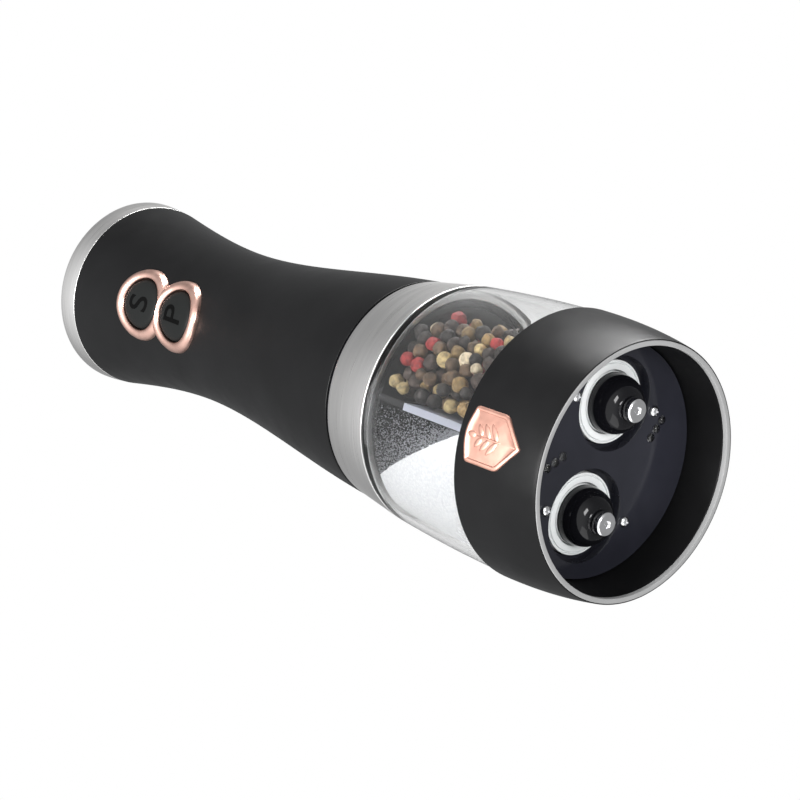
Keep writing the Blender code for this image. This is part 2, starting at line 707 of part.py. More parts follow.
def make_gears(spice, side):
    x = side * GRINDER_X
    middle = (GEAR_Z + GEAR_TOP) / 2
    gear = outline(f"{spice}_gear", gear_outline(GEAR_TEETH, TOOTH_BACKLASH), GEAR_T, x=x, z=middle)
    stub_top = MOTOR_Z - STUB_DROP
    hub = turned("gear_hub", [(0.0, stub_top), (STUB_R, stub_top), (STUB_R, GEAR_TOP + BITE),
                              (SPIGOT_R, GEAR_TOP + BITE),
                              (SPIGOT_R, CASE_Z + GAP), (0.0, CASE_Z + GAP)], x, steps=SMALL_STEPS)
    socket = rod("gear_socket", SHAFT_R + SLIP, 0.0, SHAFT_TOP + SLIP, x, steps=6)
    combine(gear, "UNION", hub)
    part(combine(gear, "DIFFERENCE", socket), NYLON)
    motor_x, motor_y = motor_place(side)
    toward = math.atan2(motor_y, motor_x - x)
    tooth = 2 * math.pi / GEAR_TEETH
    off = (toward / tooth) % 1.0
    turn = toward + math.pi + 2 * math.pi / PINION_TEETH * (0.5 + off)
    pinion = outline(f"{spice}_pinion", gear_outline(PINION_TEETH, TOOTH_BACKLASH), GEAR_T - PINION_SHY,
                     x=motor_x, y=motor_y, z=middle, turn=turn)
    stem = rod("pinion_stem", MOTOR_SHAFT_R, GEAR_Z + BITE, MOTOR_Z + STEM_REACH, motor_x, motor_y,
               TINY_STEPS)
    part(combine(pinion, "UNION", stem), STEEL)


def make_gearbox():
    """Cup that plugs the container's neck and holds the gears, with the motors' plate over it."""
    flange_z = CASE_TOP - CASE_FLANGE_T
    case = turned("gearbox_case", [(NECK_R, CASE_TOP), (NECK_R, flange_z), (CASE_R, flange_z),
                                   (CASE_R, CASE_Z), (CASE_BORE_R, CASE_Z), (CASE_BORE_R, CASE_TOP)])
    floor = rod("case_floor", CASE_R - BITE, CASE_Z, CASE_Z + CASE_FLOOR_T, steps=BIG_STEPS)
    combine(case, "UNION", floor)
    plate = rod("motor_plate", BAND_TOP_R - SHELL_WALL - SLIP, MOTOR_PLATE_Z, MOTOR_PLATE_Z + MOTOR_PLATE_T,
                steps=BIG_STEPS)
    for side in SIDES.values():
        x = side * GRINDER_X
        combine(case, "DIFFERENCE", rod("spigot_hole", SPIGOT_R + GAP, 0.0, REACH * 2, x))
        combine(plate, "DIFFERENCE", rod("stub_hole", STUB_R + GAP, 0.0, REACH * 2, x))
        motor_x, motor_y = motor_place(side)
        hole = rod("stem_hole", MOTOR_SHAFT_R + SLIP, 0.0, REACH * 2, motor_x, motor_y, TINY_STEPS)
        combine(plate, "DIFFERENCE", hole)
    part(case, GLOSS_BLACK)
    part(plate, NYLON)


def make_motor(spice, side):
    x, y = motor_place(side)
    top = MOTOR_Z + MOTOR_L
    edge = MOTOR_EDGE
    bore = MOTOR_SHAFT_R + SLIP
    bore_top = MOTOR_Z + STEM_REACH + STEM_ROOM
    profile = [(0.0, top), (MOTOR_R - edge, top), (MOTOR_R, top - edge), (MOTOR_R, MOTOR_Z),
               (bore, MOTOR_Z), (bore, bore_top), (0.0, bore_top)]
    part(turned(f"{spice}_motor", profile, x, y, SMALL_STEPS), STEEL)


# Handle.


def inner_radius(z):
    return handle_radius(z) - SHELL_WALL


def lobe(name, radius, z):
    """A round column through the front wall of the handle at height z."""
    return peg(name, radius, -REACH, LOBE_BACK_Y, 0.0, z, LOBE_STEPS)


def make_handle_shell():
    low = BAND_TOP + GAP
    high = HANDLE_TOP
    profile = down(handle_radius, low, high, 11) + up(inner_radius, low, high, 5)
    shell = turned("handle_shell", profile)
    for z in (SALT_KEY_Z, PEPPER_KEY_Z):
        combine(shell, "DIFFERENCE", lobe("bezel_hole", KEY_R + GAP + BEZEL_RING + GAP, z))
    part(shell, SOFT_BLACK)


def make_bezel():
    """Figure-of-eight ring around the two keys, following the curve of the handle."""
    span = KEY_PITCH + 2 * (KEY_R + BEZEL_RING)
    middle = (SALT_KEY_Z + PEPPER_KEY_Z) / 2
    face = skin("bezel_skin", handle_radius, middle - span, middle + span, 7, BEZEL_PROUD, -SHELL_WALL)
    bezel = lobe("button_bezel", KEY_R + GAP + BEZEL_RING, SALT_KEY_Z)
    combine(bezel, "UNION", lobe("lower_lobe", KEY_R + GAP + BEZEL_RING, PEPPER_KEY_Z))
    combine(bezel, "INTERSECT", face)
    for z in (SALT_KEY_Z, PEPPER_KEY_Z):
        combine(bezel, "DIFFERENCE", lobe("key_hole", KEY_R + GAP, z))
    part(bezel, ROSE_GOLD)


def make_key(spice, z):
    """Round key whose face follows the handle, with a retaining flange behind the bezel."""
    flange_front = KEY_BACK_Y - KEY_FLANGE_T
    key = peg(f"{spice}_key", KEY_R, -REACH, KEY_BACK_Y - SLIP, 0.0, z)
    face_low = z - 2 * KEY_R
    face_high = min(z + 2 * KEY_R, HANDLE_TOP)
    face = down(handle_radius, face_low, face_high, 5, KEY_PROUD)
    combine(key, "INTERSECT", turned("key_skin", [(0.0, face_high)] + face + [(0.0, face_low)]))
    combine(key, "UNION", peg("key_flange", KEY_FLANGE_R, flange_front, KEY_BACK_Y, 0.0, z))
    part(key, SOFT_BLACK)


def make_switches():
    low = PEPPER_KEY_Z - BOARD_MARGIN
    high = SALT_KEY_Z + BOARD_MARGIN
    board_back_y = BOARD_FRONT_Y + BOARD_T
    board = block("switch_board", (-BOARD_W / 2, BOARD_FRONT_Y, low), (BOARD_W / 2, board_back_y, high))
    part(board, BOARD_GREEN)
    for spice, z in (("salt", SALT_KEY_Z), ("pepper", PEPPER_KEY_Z)):
        half = SWITCH_W / 2
        switch = block(f"{spice}_switch", (-half, SWITCH_FRONT_Y + SWITCH_BUTTON_H, z - half),
                       (half, BOARD_FRONT_Y - GAP, z + half))
        button = peg("switch_button", 0.3 * SWITCH_W, SWITCH_FRONT_Y, SWITCH_FRONT_Y + SWITCH_BUTTON_H + SLIP,
                     0.0, z, TINY_STEPS)
        part(combine(switch, "UNION", button), STEEL)


def make_chassis():
    """Upright plate between the motors that carries the battery holder, as wide as the handle allows."""
    low = MOTOR_PLATE_Z + MOTOR_PLATE_T + GAP
    high = LOWER_CONTACT_Z - GAP
    shoulder = low + CHASSIS_SHOULDER
    wide = inner_radius(shoulder) - CHASSIS_MARGIN
    narrow = CHASSIS_TOP_W / 2
    bend = shoulder + (wide - narrow)
    points = [(-wide, low), (wide, low), (wide, shoulder), (narrow, bend), (narrow, high),
              (-narrow, high), (-narrow, bend), (-wide, shoulder)]
    part(outline("chassis_plate", points, CHASSIS_T, upright=True), NYLON)


def battery_places():
    return [(x * BATTERY_OFFSET, HOLDER_Y + y * BATTERY_OFFSET) for x in (-1, 1) for y in (-1, 1)]


def make_batteries():
    holder = rod("battery_holder", HOLDER_R, HOLDER_Z, HOLDER_TOP, y=HOLDER_Y, steps=BIG_STEPS)
    for x, y in battery_places():
        combine(holder, "DIFFERENCE", rod("battery_slot", BATTERY_SLOT_R, 0.0, 6 * REACH, x, y))
    part(holder, NYLON)
    body_top = HOLDER_Z + BATTERY_L - BATTERY_NUB_H
    for i, (x, y) in enumerate(battery_places()):
        top = HOLDER_Z + BATTERY_L
        edge = BATTERY_EDGE
        profile = [(0.0, top), (BATTERY_NUB_R, top), (BATTERY_NUB_R, body_top),
                   (BATTERY_R - edge, body_top), (BATTERY_R, body_top - edge),
                   (BATTERY_R, HOLDER_Z), (0.0, HOLDER_Z)]
        part(turned(f"battery_{i + 1}", profile, x, y, TINY_STEPS), CELL_WRAP)
    contacts = {
        "lower_contact": (LOWER_CONTACT_Z, HOLDER_R - BITE),
        "upper_contact": (UPPER_CONTACT_Z, CAP_HUB_R),
    }
    for name, (z, radius) in contacts.items():
        part(rod(name, radius, z, z + CONTACT_T, y=HOLDER_Y, steps=SMALL_STEPS), STEEL)


def make_cap():
    """Lift-off end cap with a skirt inside the handle and a hub that presses on the battery contact."""
    side_r = CROWN_R + CAP_FLARE
    joint = HANDLE_TOP + GAP
    under = CAP_TOP - CAP_TOP_T
    skirt_r = inner_radius(HUB_BOTTOM) - SLIP
    skirt_bore = skirt_r - CAP_SKIRT_T
    hub_bore = CAP_HUB_R - CAP_HUB_T
    profile = [(0.0, CAP_TOP), (side_r - CAP_EDGE, CAP_TOP), (side_r, CAP_TOP - CAP_EDGE), (CROWN_R, joint),
               (skirt_r, joint), (skirt_r, HUB_BOTTOM), (skirt_bore, HUB_BOTTOM), (skirt_bore, under),
               (CAP_HUB_R, under), (CAP_HUB_R, HUB_BOTTOM), (hub_bore, HUB_BOTTOM), (hub_bore, under),
               (0.0, under)]
    part(turned("top_cap", profile), SATIN_SILVER)


def main():
    make_collar()
    make_badge()
    make_plate()
    make_hopper_floor()
    make_screws()
    make_lens("light_lens_front", *FRONT_LENS_AT, FRONT_LENS_TURN)
    make_lens("light_lens_rear", *REAR_LENS_AT, REAR_LENS_TURN)
    make_container()
    make_divider_insert()
    make_fills()
    make_band()
    for spice, side in SIDES.items():
        make_grinder(spice, side)
        make_adjuster(spice, side)
        make_gears(spice, side)
        make_motor(spice, side)
    make_gearbox()
    make_handle_shell()
    make_bezel()
    make_key("salt", SALT_KEY_Z)
    make_key("pepper", PEPPER_KEY_Z)
    make_switches()
    make_chassis()
    make_batteries()
    make_cap()


main()
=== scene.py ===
"""Looks of the electric salt and pepper mill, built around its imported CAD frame.

Metres, in the frame's own axes: +Z up the mill, -Y the front with the badge and the keys, +X pepper.
"""

import math

import bmesh
import bpy
import numpy as np
from mathutils import Matrix, Vector


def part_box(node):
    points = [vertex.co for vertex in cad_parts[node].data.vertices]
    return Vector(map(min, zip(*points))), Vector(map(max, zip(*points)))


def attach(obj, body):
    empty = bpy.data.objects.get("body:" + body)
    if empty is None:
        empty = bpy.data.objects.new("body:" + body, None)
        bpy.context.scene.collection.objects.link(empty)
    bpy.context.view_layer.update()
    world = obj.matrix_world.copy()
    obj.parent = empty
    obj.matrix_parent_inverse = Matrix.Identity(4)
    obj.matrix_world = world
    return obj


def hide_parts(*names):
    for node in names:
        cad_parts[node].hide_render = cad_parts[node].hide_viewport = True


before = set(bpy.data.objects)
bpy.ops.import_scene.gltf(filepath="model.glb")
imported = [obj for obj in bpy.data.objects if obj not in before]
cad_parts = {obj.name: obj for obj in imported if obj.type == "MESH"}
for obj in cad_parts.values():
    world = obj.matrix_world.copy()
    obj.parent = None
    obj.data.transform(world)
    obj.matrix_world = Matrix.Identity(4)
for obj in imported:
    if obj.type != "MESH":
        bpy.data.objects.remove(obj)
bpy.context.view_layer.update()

MM = 0.001
GAP = 0.3 * MM
ROUND = 192
MEDIUM = 96
SMALL = 48


# Sizes read from the frame.


def low_z(node):
    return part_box(node)[0].z


def high_z(node):
    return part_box(node)[1].z


def wide_r(node):
    """Half of a node's width along X."""
    low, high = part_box(node)
    return (high.x - low.x) / 2


def centre(node):
    low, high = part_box(node)
    return (low + high) / 2


COLLAR_TOP = high_z("base_collar")
BAND_LOW = low_z("metal_band")
BAND_TOP = high_z("metal_band")
HANDLE_LOW = low_z("handle_shell")
HANDLE_TOP = high_z("handle_shell")
CAP_LOW = HANDLE_TOP + GAP
CAP_TOP = high_z("top_cap")
BODY_R = wide_r("base_collar")
GLASS_R = wide_r("container")
BAND_R = wide_r("metal_band")
SHOULDER_R = wide_r("handle_shell")
CAP_R = wide_r("top_cap")
CROWN_R = CAP_R - 0.5 * MM
RIM_R = BODY_R - 2.3 * MM
PLATE_R = wide_r("grinder_plate")
PLATE_Z = low_z("grinder_plate")
THROAT_R = RIM_R - 1.5 * MM
GRINDER_X = centre("pepper_stator").x
KEY_Z = {"salt": centre("salt_key").z, "pepper": centre("pepper_key").z}
KEY_PITCH = KEY_Z["salt"] - KEY_Z["pepper"]
SIDES = {"salt": -1, "pepper": 1}

# Sizes that the frame's boxes don't give: walls, and the shape of the silhouette.
WAIST_R = 22.4 * MM
WAIST_Z = BAND_TOP + 79.8 * MM
RIM_SLOPE = 0.2
GLASS_SLOPE = -0.085
SHOULDER_SLOPE = -0.07
CROWN_SLOPE = 0.17
SHELL_WALL = 1.8 * MM
BAND_WALL = 1.4 * MM
GLASS_WALL = 2.4 * MM
CLEAR_WALL = 1.4 * MM
SKIRT_WALL = 2.0 * MM


def between(z, low, high):
    """Radius at height z on the smooth curve between two (height, radius, slope) stations."""
    span = high[0] - low[0]
    t = (z - low[0]) / span
    start = low[1] * (2 * t**3 - 3 * t**2 + 1) + low[2] * span * (t**3 - 2 * t**2 + t)
    end = high[1] * (3 * t**2 - 2 * t**3) + high[2] * span * (t**3 - t**2)
    return start + end


def collar_radius(z):
    return between(z, (0.0, RIM_R, RIM_SLOPE), (COLLAR_TOP, BODY_R, 0.0))


def glass_radius(z):
    return between(z, (COLLAR_TOP, GLASS_R, 0.0), (BAND_LOW - GAP, BAND_R, GLASS_SLOPE))


def handle_radius(z):
    waist = (WAIST_Z, WAIST_R, 0.0)
    if z < WAIST_Z:
        return between(z, (BAND_TOP, SHOULDER_R, SHOULDER_SLOPE), waist)
    return between(z, waist, (HANDLE_TOP, CROWN_R, CROWN_SLOPE))


# Material helpers.


def new_material(name):
    """A material with a Principled shader, and a function that adds nodes and links to it."""
    made = bpy.data.materials.new(name)
    made.use_nodes = True
    tree = made.node_tree
    shader = tree.nodes["Principled BSDF"]

    def add(kind, inputs=None, **settings):
        node = tree.nodes.new(kind)
        for key, value in settings.items():
            setattr(node, key, value)
        for key, value in (inputs or {}).items():
            if isinstance(value, bpy.types.NodeSocket):
                tree.links.new(value, node.inputs[key])
            else:
                node.inputs[key].default_value = value
        return node

    def link(source, socket):
        tree.links.new(source, socket if not isinstance(socket, str) else shader.inputs[socket])

    return made, shader, add, link


def set_inputs(shader, **values):
    names = {key.replace(" ", "_").lower(): key for key in shader.inputs.keys()}
    for key, value in values.items():
        if key == "base_color":
            value = (*value, 1.0)
        shader.inputs[names[key]].default_value = value


def noise(add, scale, detail=3.0, stretch=(1.0, 1.0, 1.0)):
    """Noise in the object's own space, where scale is in features per metre."""
    where = add("ShaderNodeTexCoord")
    spread = add("ShaderNodeMapping", {"Vector": where.outputs["Object"], "Scale": stretch})
    return add("ShaderNodeTexNoise", {"Vector": spread.outputs[0], "Scale": scale, "Detail": detail})


def ramp(add, source, stops):
    """A colour ramp whose stops are (place, grey or colour)."""
    node = add("ShaderNodeValToRGB", {"Fac": source})
    elements = node.color_ramp.elements
    while len(elements) < len(stops):
        elements.new(0.5)
    for element, (place, colour) in zip(elements, stops):
        element.position = place
        element.color = (colour,) * 3 + (1.0,) if isinstance(colour, float) else (*colour, 1.0)
    return node


def bump(add, height, strength, distance):
    return add("ShaderNodeBump", {"Height": height, "Strength": strength, "Distance": distance})


def plastic(name, dark, light, roughness, spread, grain, grain_depth, **extra):
    """Moulded plastic: two close shades in soft clouds, uneven gloss and a fine grain."""
    made, shader, add, link = new_material(name)
    cloud = noise(add, 45.0)
    link(ramp(add, cloud.outputs["Fac"], [(0.35, dark), (0.65, light)]).outputs[0], "Base Color")
    gloss = noise(add, 160.0, 4.0)
    rough = ramp(add, gloss.outputs["Fac"], [(0.3, roughness - spread), (0.7, roughness + spread)])
    link(rough.outputs[0], "Roughness")
    fine = noise(add, grain, 2.0)
    link(bump(add, fine.outputs["Fac"], 0.25, grain_depth).outputs[0], "Normal")
    set_inputs(shader, **extra)
    return made


def metal(name, dark, light, roughness, spread, brush=(1.0, 1.0, 1.0), scale=400.0, depth=0.00001, **extra):
    """Metal with fine brushing along one direction, seen in its colour, its gloss and its surface."""
    made, shader, add, link = new_material(name)
    lines = noise(add, scale, 4.0, brush)
    link(ramp(add, lines.outputs["Fac"], [(0.3, dark), (0.7, light)]).outputs[0], "Base Color")
    rough = ramp(add, lines.outputs["Fac"], [(0.3, roughness - spread), (0.7, roughness + spread)])
    link(rough.outputs[0], "Roughness")
    link(bump(add, lines.outputs["Fac"], 0.3, depth).outputs[0], "Normal")
    set_inputs(shader, metallic=1.0, **extra)
    return made


def clear(name, tint, roughness, ior):
    """Clear plastic with a faint smear in its gloss."""
    made, shader, add, link = new_material(name)
    smear = noise(add, 60.0, 3.0)
    rough = ramp(add, smear.outputs["Fac"], [(0.4, roughness), (0.75, roughness + 0.03)])
    link(rough.outputs[0], "Roughness")
    set_inputs(shader, base_color=tint, transmission_weight=1.0, ior=ior)
    return made


SOFT_BLACK = plastic("soft_touch_black", (0.004, 0.004, 0.0042), (0.0055, 0.0055, 0.0058), 0.36, 0.04,
                     9000.0, 0.00002, specular_ior_level=0.12)
KEY_BLACK = plastic("key_black", (0.007, 0.0075, 0.0074), (0.009, 0.0096, 0.0094), 0.5, 0.04,
                    7000.0, 0.00003, specular_ior_level=0.08)
LETTER_BLACK = plastic("letter_black", (0.002, 0.002, 0.002), (0.003, 0.003, 0.003), 0.7, 0.05,
                       4000.0, 0.00001, specular_ior_level=0.02)
GLOSS_BLACK = plastic("gloss_black", (0.004, 0.004, 0.005), (0.007, 0.007, 0.009), 0.07, 0.03,
                      1500.0, 0.000005, specular_ior_level=0.3)
PLATE_BLACK = plastic("plate_black", (0.014, 0.0145, 0.02), (0.02, 0.0205, 0.028), 0.1, 0.04,
                      1500.0, 0.00001, specular_ior_level=0.35)
RIM_GREY = plastic("rim_grey", (0.25, 0.25, 0.25), (0.3, 0.3, 0.3), 0.6, 0.05, 6000.0, 0.00001,
                   specular_ior_level=0.2)
CERAMIC = plastic("ceramic", (0.78, 0.8, 0.8), (0.86, 0.87, 0.87), 0.22, 0.05, 3000.0, 0.00002,
                  subsurface_weight=0.1, subsurface_radius=(0.001, 0.001, 0.001))
NYLON = plastic("nylon", (0.6, 0.59, 0.53), (0.68, 0.67, 0.62), 0.5, 0.06, 5000.0, 0.00002)
SILICONE = plastic("silicone", (0.35, 0.35, 0.36), (0.42, 0.42, 0.43), 0.7, 0.05, 4000.0, 0.00002)
BOARD = plastic("board_lacquer", (0.01, 0.1, 0.045), (0.015, 0.14, 0.06), 0.35, 0.05, 3000.0, 0.00002)
CELL = plastic("cell_wrap", (0.03, 0.035, 0.09), (0.04, 0.045, 0.12), 0.3, 0.05, 2000.0, 0.00001)
SILVER = metal("satin_silver", (0.71, 0.7, 0.69), (0.76, 0.75, 0.74), 0.3, 0.03, (0.15, 0.15, 6.0),
               depth=0.000003)
CHROME = metal("chrome", (0.82, 0.82, 0.83), (0.9, 0.9, 0.91), 0.08, 0.03, depth=0.000003)
STEEL = metal("steel", (0.5, 0.5, 0.5), (0.6, 0.6, 0.6), 0.3, 0.06, (1.0, 1.0, 0.1))
ROSE_GOLD = metal("rose_gold", (0.78, 0.48, 0.4), (0.84, 0.55, 0.46), 0.3, 0.04, depth=0.000004)
BADGE_GOLD = metal("badge_gold", (0.47, 0.26, 0.205), (0.52, 0.29, 0.23), 0.48, 0.05, depth=0.000004)
CLEAR = clear("clear_acrylic", (0.985, 0.99, 0.99), 0.0, 1.36)
# Pale lavender, part-diffuse finish for the divider: painted highlight, standing in for the light that its
# clear front edge catches.
FROSTED_PAINTED_HIGHLIGHT = clear("frosted_acrylic_painted_highlight", (0.62, 0.64, 0.74), 0.4, 1.45)
set_inputs(FROSTED_PAINTED_HIGHLIGHT.node_tree.nodes["Principled BSDF"], transmission_weight=0.45)
SALT_DUST = plastic("salt_dust", (0.16, 0.165, 0.18), (0.3, 0.305, 0.33), 0.5, 0.05, 3000.0, 0.00001)


# Mesh helpers.


def place(name, mesh, material, body, node, slot):
    """Adds a mesh as a piece: smooth, with its material, riding on a body and standing for a node."""
    obj = bpy.data.objects.new(name, mesh)
    bpy.context.scene.collection.objects.link(obj)
    mesh.materials.clear()
    mesh.materials.append(material)
    mesh.shade_smooth()
    mesh.set_sharp_from_angle(angle=math.radians(32))
    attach(obj, body)
    if node:
        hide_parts(*([node] if isinstance(node, str) else node))
    return obj


def turned_mesh(name, profile, x=0.0, y=0.0, steps=ROUND):
    """A (radius, height) profile, running down its outer side, turned about a vertical axis at x, y.

    A profile whose ends lie on the axis is closed there, and any other is closed into a loop.
    """
    count = len(profile)
    loop = not (profile[0][0] == 0.0 and profile[-1][0] == 0.0)
    shape = bmesh.new()
    rings = []
    for r, z in profile:
        if r == 0.0:
            rings.append([shape.verts.new((x, y, z))] * steps)
            continue
        turn = [2 * math.pi * i / steps for i in range(steps)]
        rings.append([shape.verts.new((x + r * math.cos(a), y + r * math.sin(a), z)) for a in turn])
    for i in range(count if loop else count - 1):
        upper, lower = rings[i], rings[(i + 1) % count]
        for j in range(steps):
            k = (j + 1) % steps
            corners = [upper[j], lower[j], lower[k], upper[k]]
            shape.faces.new(list(dict.fromkeys(corners)))
    mesh = bpy.data.meshes.new(name)
    shape.to_mesh(mesh)
    shape.free()
    return mesh


def down(radius, low, high, count, offset=0.0):
    return [(radius(high - (high - low) * i / (count - 1)) + offset, high - (high - low) * i / (count - 1))
            for i in range(count)]


def up(radius, low, high, count, offset=0.0):
    return down(radius, low, high, count, offset)[::-1]


def corner_arc(corner, before, after, size, steps):
    """Points of the curve that rounds a corner between its two edges, given as vectors from it."""
    reach = min(size, 0.45 * before.length, 0.45 * after.length)
    start = corner + before.normalized() * reach
    end = corner + after.normalized() * reach
    places = [j / steps for j in range(steps + 1)]
    return [tuple(start * (1 - t) ** 2 + corner * 2 * t * (1 - t) + end * t**2) for t in places]


def eased(profile, size, steps=4):
    """The closed profile with each sharp corner rounded by an arc no larger than size."""
    points = [Vector(p) for p in profile]
    rounded = []
    count = len(points)
    for i, corner in enumerate(points):
        before = points[i - 1] - corner
        after = points[(i + 1) % count] - corner
        turn = math.pi - before.angle(after) if before.length and after.length else 0.0
        if turn < math.radians(25) or corner.x == 0.0:
            rounded.append(tuple(corner))
            continue
        rounded += corner_arc(corner, before, after, size, steps)
    return rounded


def button_profile(radius, base, depth, steps):
    """A rounded button hanging down from a height, as a profile without its tip on the axis."""
    turns = [math.pi / 2 * k / steps for k in range(steps)]
    return [(0.0, base)] + [(radius * math.cos(a), base - depth * math.sin(a)) for a in turns]


def box_mesh(name, size, middle):
    shape = bmesh.new()
    bmesh.ops.create_cube(shape, size=1.0)
    bmesh.ops.scale(shape, vec=size, verts=shape.verts)
    bmesh.ops.translate(shape, vec=middle, verts=shape.verts)
    mesh = bpy.data.meshes.new(name)
    shape.to_mesh(mesh)
    shape.free()
    return mesh


def points_faces(mesh):
    return [v.co.copy() for v in mesh.vertices], [tuple(f.vertices) for f in mesh.polygons]


def cylinder_mesh(radius, low, high, x=0.0, y=0.0, steps=MEDIUM, along_y=False):
    """A plain cylinder used to cut holes, along Z, or along Y where low and high are places on Y."""
    shape = bmesh.new()
    bmesh.ops.create_cone(shape, cap_ends=True, segments=steps, radius1=radius, radius2=radius,
                          depth=high - low)
    bmesh.ops.translate(shape, vec=(0.0, 0.0, (low + high) / 2), verts=shape.verts)
    if along_y:
        bmesh.ops.rotate(shape, matrix=Matrix.Rotation(-math.pi / 2, 3, "X"), verts=shape.verts)
    bmesh.ops.translate(shape, vec=(x, 0.0, y) if along_y else (x, y, 0.0), verts=shape.verts)
    mesh = bpy.data.meshes.new("cutter")
    shape.to_mesh(mesh)
    shape.free()
    return mesh


def boolean(mesh, operation, cutters):
    """The mesh after cutting or joining others to it, as a new mesh."""
    scene = bpy.context.scene.collection
    body = bpy.data.objects.new("work", mesh)
    scene.objects.link(body)
    tools = []
    for cutter in cutters:
        tool = bpy.data.objects.new("tool", cutter)
        scene.objects.link(tool)
        tools.append(tool)
        step = body.modifiers.new("step", "BOOLEAN")
        step.operation = operation
        step.solver = "EXACT"
        step.object = tool
    made = bpy.data.meshes.new_from_object(body.evaluated_get(bpy.context.evaluated_depsgraph_get()))
    for obj in [body] + tools:
        bpy.data.objects.remove(obj)
    return made


def joined_mesh(name, parts):
    """One mesh out of several (points, faces) lists."""
    points, faces = [], []
    for part_points, part_faces in parts:
        shift = len(points)
        points.extend(map(tuple, part_points))
        faces.extend(tuple(i + shift for i in face) for face in part_faces)
    mesh = bpy.data.meshes.new(name)
    mesh.from_pydata(points, [], faces)
    mesh.update()
    return mesh


# Shells, turned.

KEY_R = 7.2 * MM
KEY_PROUD = 1.4 * MM
LETTER_SUNK = 0.04 * MM
BEZEL_RING = 2.9 * MM
HOLE_R = KEY_R + GAP
RING_R = HOLE_R + BEZEL_RING
BEZEL_HIDDEN = 0.5 * MM
SHELL_EDGE = 0.3 * MM
FRONT_CUT = 60 * MM


def make_collar():
    """Soft-touch collar, open below, its inside stepping round the plate, and the light rim ring."""
    rim_h = 1.5 * MM
    foot = 0.1 * MM
    lip = RIM_R - 0.2 * MM
    inner = BODY_R - SHELL_WALL
    ledge = PLATE_Z - 1.2 * MM
    collar = down(collar_radius, foot, COLLAR_TOP, 24)
    collar += [(lip, foot), (lip, rim_h), (THROAT_R, rim_h), (THROAT_R - 0.55 * MM, PLATE_Z - 3.5 * MM),
               (THROAT_R - 0.7 * MM, ledge), (PLATE_R + 0.25 * MM, PLATE_Z + 3.0 * MM),
               (inner, PLATE_Z + 4.7 * MM), (inner, COLLAR_TOP)]
    place("collar_skin", turned_mesh("collar_skin", eased(collar, SHELL_EDGE)), SOFT_BLACK, "base",
          "base_collar", "soft_black")
    trim_r = lip - 0.05 * MM
    trim_top = rim_h - 0.1 * MM
    rim = [(trim_r, trim_top), (trim_r, 0.0), (THROAT_R, 0.0), (THROAT_R, trim_top)]
    place("rim_trim", turned_mesh("rim_trim", eased(rim, 0.15 * MM)), RIM_GREY, "base", "rim_ring",
          "rim_grey")


def make_band():
    bore = SHOULDER_R - BAND_WALL
    band = [(SHOULDER_R, BAND_TOP), (BAND_R, BAND_LOW), (bore, BAND_LOW), (bore, BAND_TOP)]
    place("band_skin", turned_mesh("band_skin", eased(band, SHELL_EDGE)), SILVER, "base", "metal_band",
          "satin_silver")


def make_handle():
    """Waisted shell, cut out under the bezel, with a groove where it meets the band that a gloss-black ring
    fills as painted shadow.
    """
    groove_h = 0.6 * MM
    shell_low = HANDLE_LOW + groove_h
    # Gloss-black ring inside the groove: a dark piece put where there is only shade, painted shadow at the
    # joint with the band.
    shadow_ring_r, shadow_ring_bore = SHOULDER_R - 0.6 * MM, SHOULDER_R - SHELL_WALL
    shadow_ring_low, shadow_ring_high = BAND_TOP + 0.05 * MM, shell_low + groove_h
    shadow_ring_profile = [(shadow_ring_r, shadow_ring_high), (shadow_ring_r, shadow_ring_low), (shadow_ring_bore, shadow_ring_low),
              (shadow_ring_bore, shadow_ring_high)]
    place("painted_groove_shadow", turned_mesh("painted_groove_shadow", shadow_ring_profile), GLOSS_BLACK, "handle", None, "gloss_black")
    shell = down(handle_radius, shell_low, HANDLE_TOP, 72)
    shell += up(handle_radius, shell_low, HANDLE_TOP, 24, -SHELL_WALL)
    shell = turned_mesh("handle_skin", eased(shell, SHELL_EDGE))
    holes = [cylinder_mesh(RING_R - BEZEL_HIDDEN, -FRONT_CUT, -1 * MM, 0.0, z, MEDIUM, True)
             for z in KEY_Z.values()]
    place("handle_skin", boolean(shell, "DIFFERENCE", holes), SOFT_BLACK, "handle", "handle_shell",
          "soft_black")


def make_cap():
    """Satin cap with a crisp turned edge, a skirt inside the handle and a boss under its middle."""
    under = CAP_TOP - 2.2 * MM
    skirt_low = low_z("top_cap")
    skirt = handle_radius(skirt_low) - SHELL_WALL - 0.4 * MM
    skirt_bore = skirt - 1.5 * MM
    boss_r, boss_bore = 12.5 * MM, 10.5 * MM
    cap = [(0.0, CAP_TOP), (CAP_R - 0.9 * MM, CAP_TOP), (CAP_R - 0.35 * MM, CAP_TOP - 0.2 * MM),
           (CAP_R, CAP_TOP - 0.8 * MM), (CAP_R - 0.1 * MM, CAP_TOP - 3.0 * MM), (CROWN_R, CAP_LOW),
           (skirt, CAP_LOW), (skirt, skirt_low), (skirt_bore, skirt_low), (skirt_bore, under),
           (boss_r, under), (boss_r, skirt_low), (boss_bore, skirt_low), (boss_bore, under), (0.0, under)]
    place("cap_skin", turned_mesh("cap_skin", eased(cap, 0.12 * MM)), SILVER, "cap", "top_cap",
          "satin_silver")


# Grinding end.

SCREWS = 4
SHAFT_BORE = 2.5 * MM
PIP_R = 1.15 * MM
PIP_REACH = 2.6 * MM
PIP_H = 0.8 * MM


